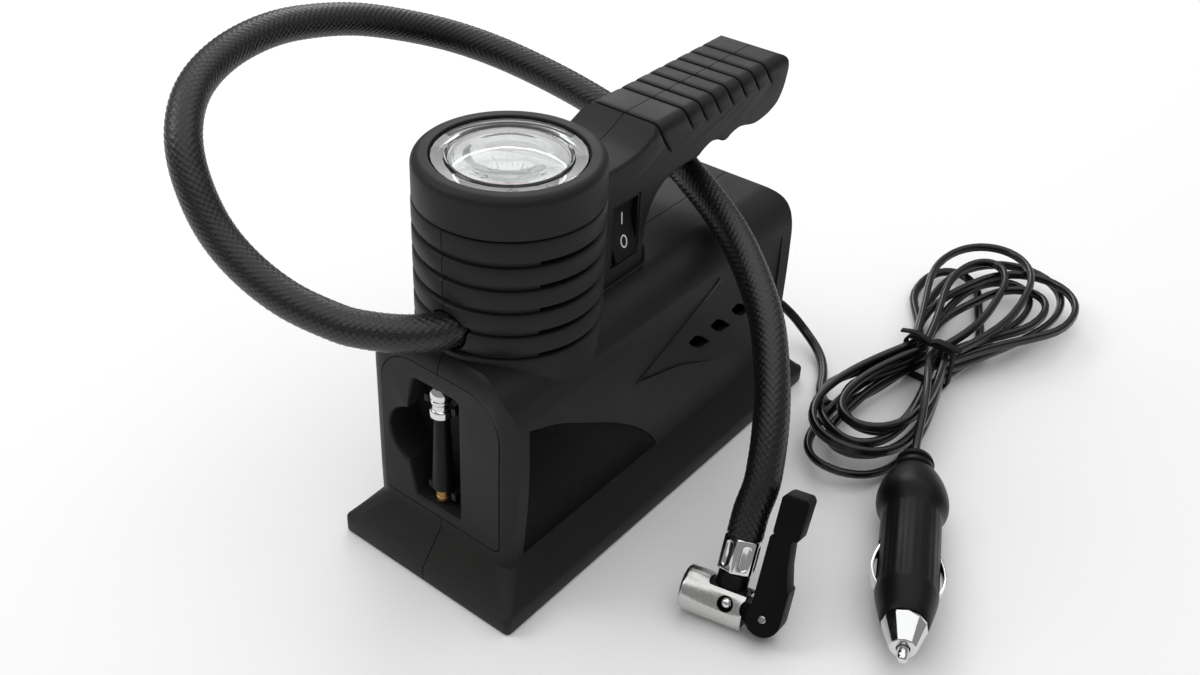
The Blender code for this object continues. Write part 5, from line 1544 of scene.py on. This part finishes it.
# ---------------------------------------------------------------- plug and power cord
@dataclass
class CarPlug:
    """The 12 V car plug: fluted body with a ball behind the grip, bright nose, tip and side contacts."""

    bore: float = 0.005
    barrel: float = 0.01025
    bulge: float = 0.0124
    length: float = 0.097
    contact_half: float = 0.0022

    def __post_init__(self) -> None:
        """Work out the plug's placement: local z runs from the tip to the cord and x points up."""
        self.at = frame_at(PLUG_TIP, PLUG_BACK, (0.0, 0.0, 1.0))

    def body(self) -> Object:
        """Build the body.

        Returns:
            The body.
        """
        hole = 0.002
        outer = [(self.bore, 0.0153), (0.0073, 0.0153), (0.0076, 0.0156),
                 *smooth_line([(0.0082, 0.018), (0.0094, 0.0234), (0.0101, 0.0274), (self.barrel, 0.03)], 3),
                 (self.barrel, 0.048), (self.barrel, 0.0646),
                 *smooth_line([(self.barrel + 0.0001, 0.0656), (0.0109, 0.0672), (0.0121, 0.07),
                               (self.bulge, 0.0726), (0.0122, 0.0756), (0.0112, 0.08), (0.0096, 0.0844),
                               (0.008, 0.0876)], 3)]
        for z in (0.0895, 0.0935):
            outer += [(0.0069, z - 0.0012), (0.0066, z - 0.0008), (0.0057, z - 0.0005), (0.0057, z + 0.0005),
                      (0.0066, z + 0.0008), (0.0069, z + 0.0012)]
        outer += [(0.0065, 0.0964), (0.0061, self.length), (hole, self.length), (hole, 0.074),
                  (self.bore, 0.074)]
        body = turned("plug_shell", outer, None, 96)
        self.rib(body)
        body.data.transform(self.at)
        opening = rounded(self.contact_half + GAP, 0.0034, 0.0004, 3)
        for side in (-1, 1):
            slot = block("contact_slot", [(a, side * 0.0096 + b) for a, b in opening], Axis.Z, 0.0286, 0.0504)
            slot.data.transform(self.at)
            combine(body, slot, Join.TAKE)
        return settle(body, "base", BLACK, Slot.BLACK, "plug_body")

    def rib(self, body: Object) -> None:
        """Press shallow lengthwise flutes into the grip.

        Args:
            body: The body, still along local z.
        """
        for vert in body.data.vertices:
            x, y, z = vert.co
            radius = math.hypot(x, y)
            if 0.029 < z < 0.065 and radius > 0.0095:
                push = 0.00016 * (0.5 - 0.5 * math.cos(24 * math.atan2(y, x)))
                vert.co.x, vert.co.y = x * (1 - push / radius), y * (1 - push / radius)

    def nose(self) -> None:
        """Build the bright nose with its knurled flats, and the sprung tip."""
        profile = [(0.00215, 0.0052), (0.0024, 0.005), (0.0039, 0.005), (0.0043, 0.0053), (0.0069, 0.0129),
                   (0.0073, 0.0138), (0.0073, 0.0148), (0.0071, 0.015), (0.0047, 0.015), (0.0047, 0.02),
                   (0.0037, 0.02), (0.0037, 0.009), (0.00215, 0.009)]
        nose = turned("plug_cap", profile, self.at, 12)
        soften(nose, 0.00012, 2, 20.0)
        settle(nose, "base", CHROME, Slot.CHROME, "plug_nose", degrees=12.0)
        tip = [(0.0, 0.0), (0.0007, 0.00005), (0.00125, 0.00035), (0.00155, 0.0009), (0.0017, 0.0018),
               (0.00185, 0.002), (0.00185, 0.0093), (0.0034, 0.0093), (0.0034, 0.0124), (0.0, 0.0124)]
        settle(turned("plug_tip", tip, self.at, 48), "plunger", CHROME, Slot.CHROME, "plug_pin")

    def contacts(self) -> None:
        """Build the two sprung side contacts from one bent strip."""
        strip = smooth_line([(0.0072, 0.0492), (0.0092, 0.0482), (0.0104, 0.045), (0.0113, 0.0416),
                             (0.0118, 0.037), (0.0112, 0.033), (0.0102, 0.0304), (0.0092, 0.0293)], 4)
        points = [Vector(p) for p in strip]
        left, right = [], []
        for i, p in enumerate(points):
            way = (points[min(i + 1, len(points) - 1)] - points[max(i - 1, 0)]).normalized()
            off = Vector((-way.y, way.x)) * 0.00038
            left.append(tuple(p + off))
            right.append(tuple(p - off))
        for side, word in ((-1, "left"), (1, "right")):
            leaf = block(f"side_contact_{word}", [(side * y, z) for y, z in [*left, *reversed(right)]],
                         Axis.X, -self.contact_half, self.contact_half)
            soften(leaf, 0.00015, 2, 50.0)
            leaf.data.transform(self.at)
            settle(leaf, f"contact_{word}", CHROME, Slot.CHROME, f"plug_contact_{word}")

    def build(self) -> Object:
        """Build the plug.

        Returns:
            Its body.
        """
        body = self.body()
        self.nose()
        self.contacts()
        dress_node("plug_fuse", CERAMIC)
        dress_node("plug_spring", STEEL)
        return body


@dataclass(frozen=True)
class HalfLoop:
    """Half a loop of the hank, from the tie out to its tip and back."""

    side: int
    slot_in: int
    slot_out: int
    reach: float
    swell: float
    lean_in: float
    lean_out: float
    layer_in: int
    layer_out: int


@dataclass
class PowerCord:
    """The twin cord: out of the rear wall, round the hank and down to the plug, with tie and relief."""

    width: float = 0.0039
    lobe: float = 0.0015
    tie: Pair = (0.076, 0.124)
    loop_steps: int = 36
    layer_z: float = 0.0034
    layer_pitch: float = 0.004
    slots: dict[int, float] = field(default_factory=lambda: {1: 0.0023, 2: 0.0068})
    exit: Point = (0.012, 0.096, 0.0246)
    lead: tuple[Point, ...] = ((0.012, 0.077, 0.0246), (0.012, 0.086, 0.0246), (0.012, 0.0966, 0.0246),
                               (0.0128, 0.102, 0.0234), (0.0156, 0.1074, 0.0192), (0.0208, 0.111, 0.0132),
                               (0.0276, 0.1116, 0.0074), (0.0346, 0.1086, 0.0044), (0.0404, 0.103, 0.0034),
                               (0.0452, 0.0954, 0.0034), (0.0486, 0.088, 0.0034), (0.0522, 0.0824, 0.0034),
                               (0.0564, 0.08, 0.0034), (0.0602, 0.0822, 0.0034), (0.0626, 0.088, 0.0034),
                               (0.0646, 0.096, 0.0034), (0.0666, 0.1055, 0.0034))
    tail: tuple[Point, ...] = ((0.0796, 0.116, 0.0168), (0.0838, 0.1056, 0.0198), (0.0884, 0.095, 0.0206),
                               (0.0924, 0.0852, 0.0194), (0.0952, 0.0776, 0.0164), (0.0976, 0.071, 0.0138))
    plug_stops: tuple[float, ...] = (0.103, 0.097, 0.09, 0.078)
    loops: tuple[HalfLoop, ...] = (
        HalfLoop(1, -2, 2, 0.084, 0.018, -17, -17, 0, 0), HalfLoop(-1, 2, -2, 0.082, 0.026, 0, 4, 0, 1),
        HalfLoop(1, -2, 2, 0.098, 0.038, 2, 2, 1, 1), HalfLoop(-1, 2, -1, 0.07, 0.022, 0, 4, 1, 1),
        HalfLoop(1, -1, 1, 0.082, 0.024, 2, 2, 1, 1), HalfLoop(-1, 1, -1, 0.058, 0.016, 0, -8, 1, 2),
        HalfLoop(1, -1, 1, 0.076, 0.022, 11, 11, 2, 2), HalfLoop(-1, 1, -2, 0.068, 0.022, 0, -8, 2, 2),
        HalfLoop(1, -2, 2, 0.09, 0.034, 11, 11, 2, 2), HalfLoop(-1, 2, -2, 0.077, 0.027, 0, 0, 2, 3),
        HalfLoop(1, -2, 2, 0.094, 0.03, -6, -6, 3, 3), HalfLoop(-1, 2, -1, 0.062, 0.02, 0, 0, 3, 3),
        HalfLoop(1, -1, 1, 0.08, 0.018, -6, -6, 3, 3))

    def loop_points(self, loop: HalfLoop) -> list[Point]:
        """Return one half loop's centreline.

        Args:
            loop: The half loop.

        Returns:
            The points, without the last one.
        """
        def ramp(x: float, a: float, b: float) -> float:
            """Return how far x is from a to b, eased at both ends."""
            t = min(1.0, max(0.0, (x - a) / (b - a)))
            return t * t * (3 - 2 * t)

        points = []
        near, far = self.slots[abs(loop.slot_in)], self.slots[abs(loop.slot_out)]
        for k in range(self.loop_steps):
            degrees = 180.0 * k / self.loop_steps
            a = math.radians(degrees)
            slot = near + (far - near) * ramp(degrees, 40, 140)
            x = math.copysign(1.0, loop.slot_in) * math.cos(a) * (slot + loop.swell * math.sin(a))
            y = loop.reach * math.sin(a)
            lean = loop.lean_in + (loop.lean_out - loop.lean_in) * ramp(degrees, 95, 150)
            lean = math.radians(lean) * ramp(min(degrees, 180 - degrees), 0, 45)
            layer = loop.layer_in + (loop.layer_out - loop.layer_in) * ramp(degrees, 40, 90)
            points.append((self.tie[0] + x * math.cos(lean) + y * math.sin(lean),
                           self.tie[1] + loop.side * (y * math.cos(lean) - x * math.sin(lean)),
                           self.layer_z + self.layer_pitch * layer))
        return points

    def centreline(self) -> list[tuple[float, ...]]:
        """Return the whole cord's path."""
        wound = [p for loop in self.loops for p in self.loop_points(loop)]
        height = self.layer_z + self.layer_pitch * self.loops[-1].layer_out
        end = (self.tie[0] + self.slots[1], self.tie[1], height)
        lead = smooth_line([*self.lead, wound[0]], 6)[:-1]
        tail = smooth_line([end, *self.tail, *(along(PLUG_TIP, PLUG_BACK, d) for d in self.plug_stops)], 6)
        return [*lead, *wound, *tail]

    def section(self) -> list[Pair]:
        """Return the twin jacket's section: two lobes, one above the other, with a web between them."""
        up = self.width / 2 - self.lobe
        return arc(self.lobe, -25, 205, 10, (0.0, up)) + arc(self.lobe, 155, 385, 10, (0.0, -up))

    def build(self, plug_body: Object) -> None:
        """Args:
            plug_body: The plug's body, on the cord's far end; not used.
        """
        line = self.centreline()
        cord = tube("power_cord", line, self.section())
        settle(cord, "base", JACKET, Slot.CORD, "power_cord_lead", "power_cord_hank",
               "power_cord_tail", degrees=60.0)
        band = self.band()
        self.relief()

    def band(self) -> Object:
        """Build the twisted tie round the waist.

        Returns:
            The tie.
        """
        half = self.slots[2] + self.width / 2 + 0.001
        low, high = self.layer_z - 0.0021, self.layer_z + 3 * self.layer_pitch + 0.0028
        middle, tall = (low + high) / 2, (high - low) / 2
        x0, y0 = self.tie
        outer = [(x0 + x, middle + z) for x, z in rounded(half + 0.0009, tall + 0.0009, 0.0032, 8)]
        inner = [(x0 + x, middle + z) for x, z in rounded(half, tall, 0.0024, 8)]
        ring_shape = block("tie_band", outer, Axis.Y, y0 - 0.0017, y0 + 0.0017)
        combine(ring_shape, block("inside", inner, Axis.Y, y0 - 0.003, y0 + 0.003), Join.TAKE)
        for side in (-1, 1):
            end = smooth_line([(x0, y0, high + 0.0009),
                               (x0 + side * 0.0026, y0 + side * 0.0005, high + 0.0022),
                               (x0 + side * 0.007, y0, high + 0.0026),
                               (x0 + side * 0.0126, y0 + side * 0.0008, high + 0.0016)], 6)
            combine(ring_shape, tube("tie_end", end, rounded(0.0016, 0.00045, 0.0003, 2)), Join.ADD)
        soften(ring_shape, 0.0002, 2, 55.0)
        return settle(ring_shape, "base", RUBBER, Slot.CORD, "cord_tie")

    def relief(self) -> None:
        """Build the tapered strain relief with its rings."""
        hole = self.width / 2 + 0.0001
        wall = 0.082
        profile = [(hole, wall - 0.005), (0.0056, wall - 0.005), (0.0056, wall - 0.0028),
                   (0.004, wall - 0.0028), (0.004, wall + GAP), (0.0056, wall + GAP),
                   (0.0058, wall + 0.0006), (0.0058, wall + 0.0018), (0.0054, wall + 0.0023),
                   (0.0039, wall + 0.0028)]
        for k in range(4):
            z = wall + 0.0036 + 0.0027 * k
            r = 0.00375 - 0.00025 * k
            profile += [(r, z), (r, z + 0.0013), (r - 0.00055, z + 0.0016), (r - 0.00055, z + 0.0024)]
        profile += [(0.0026, wall + 0.014), (hole, wall + 0.014)]
        at = frame_at((self.exit[0], 0.0, self.exit[2]), (0.0, 1.0, 0.0), (0.0, 0.0, 1.0))
        settle(turned("cord_relief", profile, at, 48), "base", RUBBER, Slot.RUBBER, "strain_relief")


# ---------------------------------------------------------------- inside and studio
INSIDE = (("motor_can", STEEL, Slot.STEEL), ("motor_end_cap", NYLON, Slot.NYLON),
          ("motor_rotor", STEEL, Slot.STEEL), ("crank_gear", NYLON, Slot.NYLON),
          ("gear_frame", CAST, Slot.ALUMINIUM), ("piston_rod", CAST, Slot.ALUMINIUM),
          ("cup_seal", RUBBER, Slot.RUBBER), ("cylinder", CAST, Slot.ALUMINIUM),
          ("head_gasket", RUBBER, Slot.RUBBER), ("cylinder_head", CAST, Slot.ALUMINIUM),
          ("gauge_case", STEEL, Slot.STEEL), ("gauge_movement", BRASS, Slot.BRASS))


MIDDLE = (0.02, 0.02, 0.06)   # what the smaller lamps point at


@dataclass(frozen=True)
class Lamp:
    """One soft square lamp: where it hangs, what it points at, its side in metres and its power in watts."""

    name: str
    place: Point
    target: Point
    size: float
    power: float
    straight_down: bool = False


@dataclass
class Studio:
    """The camera at the photograph's place, a pale floor and soft lamps."""

    place: Point = (0.23233, -0.31586, 0.33068)
    right: Point = (0.763, 0.6462, 0.0158)
    up: Point = (-0.3593, 0.4036, 0.8415)
    back: Point = (0.5374, -0.6477, 0.5401)
    focal_pixels: float = 1331.5
    centre_pixels: Pair = (534.17, 271.65)
    sensor: float = 36.0
    room_light: float = 0.3
    lamps: tuple[Lamp, ...] = (
        Lamp("ceiling", (-0.5, 0.35, 1.7), (-0.5, 0.35, 0.0), 3.6, 42.0, straight_down=True),
        Lamp("key", (-0.9, -0.7, 1.0), MIDDLE, 0.6, 3.6),
        Lamp("rim", (-0.75, 0.95, 0.72), MIDDLE, 0.6, 3.0))

    def camera(self) -> None:
        """Set up the camera."""
        data = bpy.data.cameras.new("camera")
        data.sensor_width = self.sensor
        data.lens = self.focal_pixels / PHOTO_WIDTH * self.sensor
        data.shift_x = (PHOTO_WIDTH / 2 - self.centre_pixels[0]) / PHOTO_WIDTH
        data.shift_y = (self.centre_pixels[1] - PHOTO_HEIGHT / 2) / PHOTO_WIDTH
        data.clip_start, data.clip_end = 0.01, 20.0
        camera = bpy.data.objects.new("camera", data)
        bpy.context.collection.objects.link(camera)
        turn = Matrix((self.right, self.up, self.back)).transposed().to_4x4()
        camera.matrix_world = Matrix.Translation(self.place) @ turn
        bpy.context.scene.camera = camera

    def floor(self) -> None:
        """Lay the pale floor."""
        clear_selection()
        bpy.ops.mesh.primitive_plane_add(size=8.0, location=(0.0, 0.0, -0.0002))
        floor = bpy.context.object
        floor.name = "floor"
        made = bpy.data.materials.new("paper_sweep_white")
        made.use_nodes = True
        shader = made.node_tree.nodes["Principled BSDF"]
        shader.inputs["Base Color"].default_value = linear("#fafafa")
        shader.inputs["Roughness"].default_value = 0.9
        shader.inputs["Specular IOR Level"].default_value = 0.1
        floor.data.materials.append(made)

    def light(self, lamp: Lamp) -> None:
        """Hang one soft square lamp."""
        data = bpy.data.lights.new(lamp.name, "AREA")
        data.shape, data.size, data.energy = "SQUARE", lamp.size, lamp.power
        hung = bpy.data.objects.new(lamp.name, data)
        bpy.context.collection.objects.link(hung)
        back = Vector(lamp.place) - Vector(lamp.target)
        up = (1.0, 0.0, 0.0) if lamp.straight_down else (0.0, 0.0, 1.0)
        hung.matrix_world = frame_at(lamp.place, back, up)

    def world(self) -> None:
        """Light the room softly from all round. The white background is the floor's own colour."""
        world = bpy.data.worlds.new("room")
        world.use_nodes = True
        bpy.context.scene.world = world
        light = world.node_tree.nodes["Background"]
        light.inputs["Color"].default_value = (1.0, 1.0, 1.0, 1.0)
        light.inputs["Strength"].default_value = self.room_light

    def build(self) -> None:
        """Set up camera, floor, lamps and world."""
        self.camera()
        self.floor()
        for lamp in self.lamps:
            self.light(lamp)
        self.world()
        bpy.context.scene.view_settings.view_transform = "Standard"


def main() -> None:
    """Build every piece round the frame."""
    logging.basicConfig(level=logging.INFO, format="%(message)s")
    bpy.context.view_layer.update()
    Studio().build()
    hose = AirHose()
    hose_piece = hose.build()
    plug_body = CarPlug().build()
    PowerCord().build(plug_body)
    Housing().build()
    StoragePanel().build()
    Gauge().build()
    Switch().build()
    Adapter().build()
    Chuck().build()
    line = hose.centreline()
    for node, finish, slot in INSIDE:
        dress_node(node, finish)


if __name__ == "__main__":
    main()
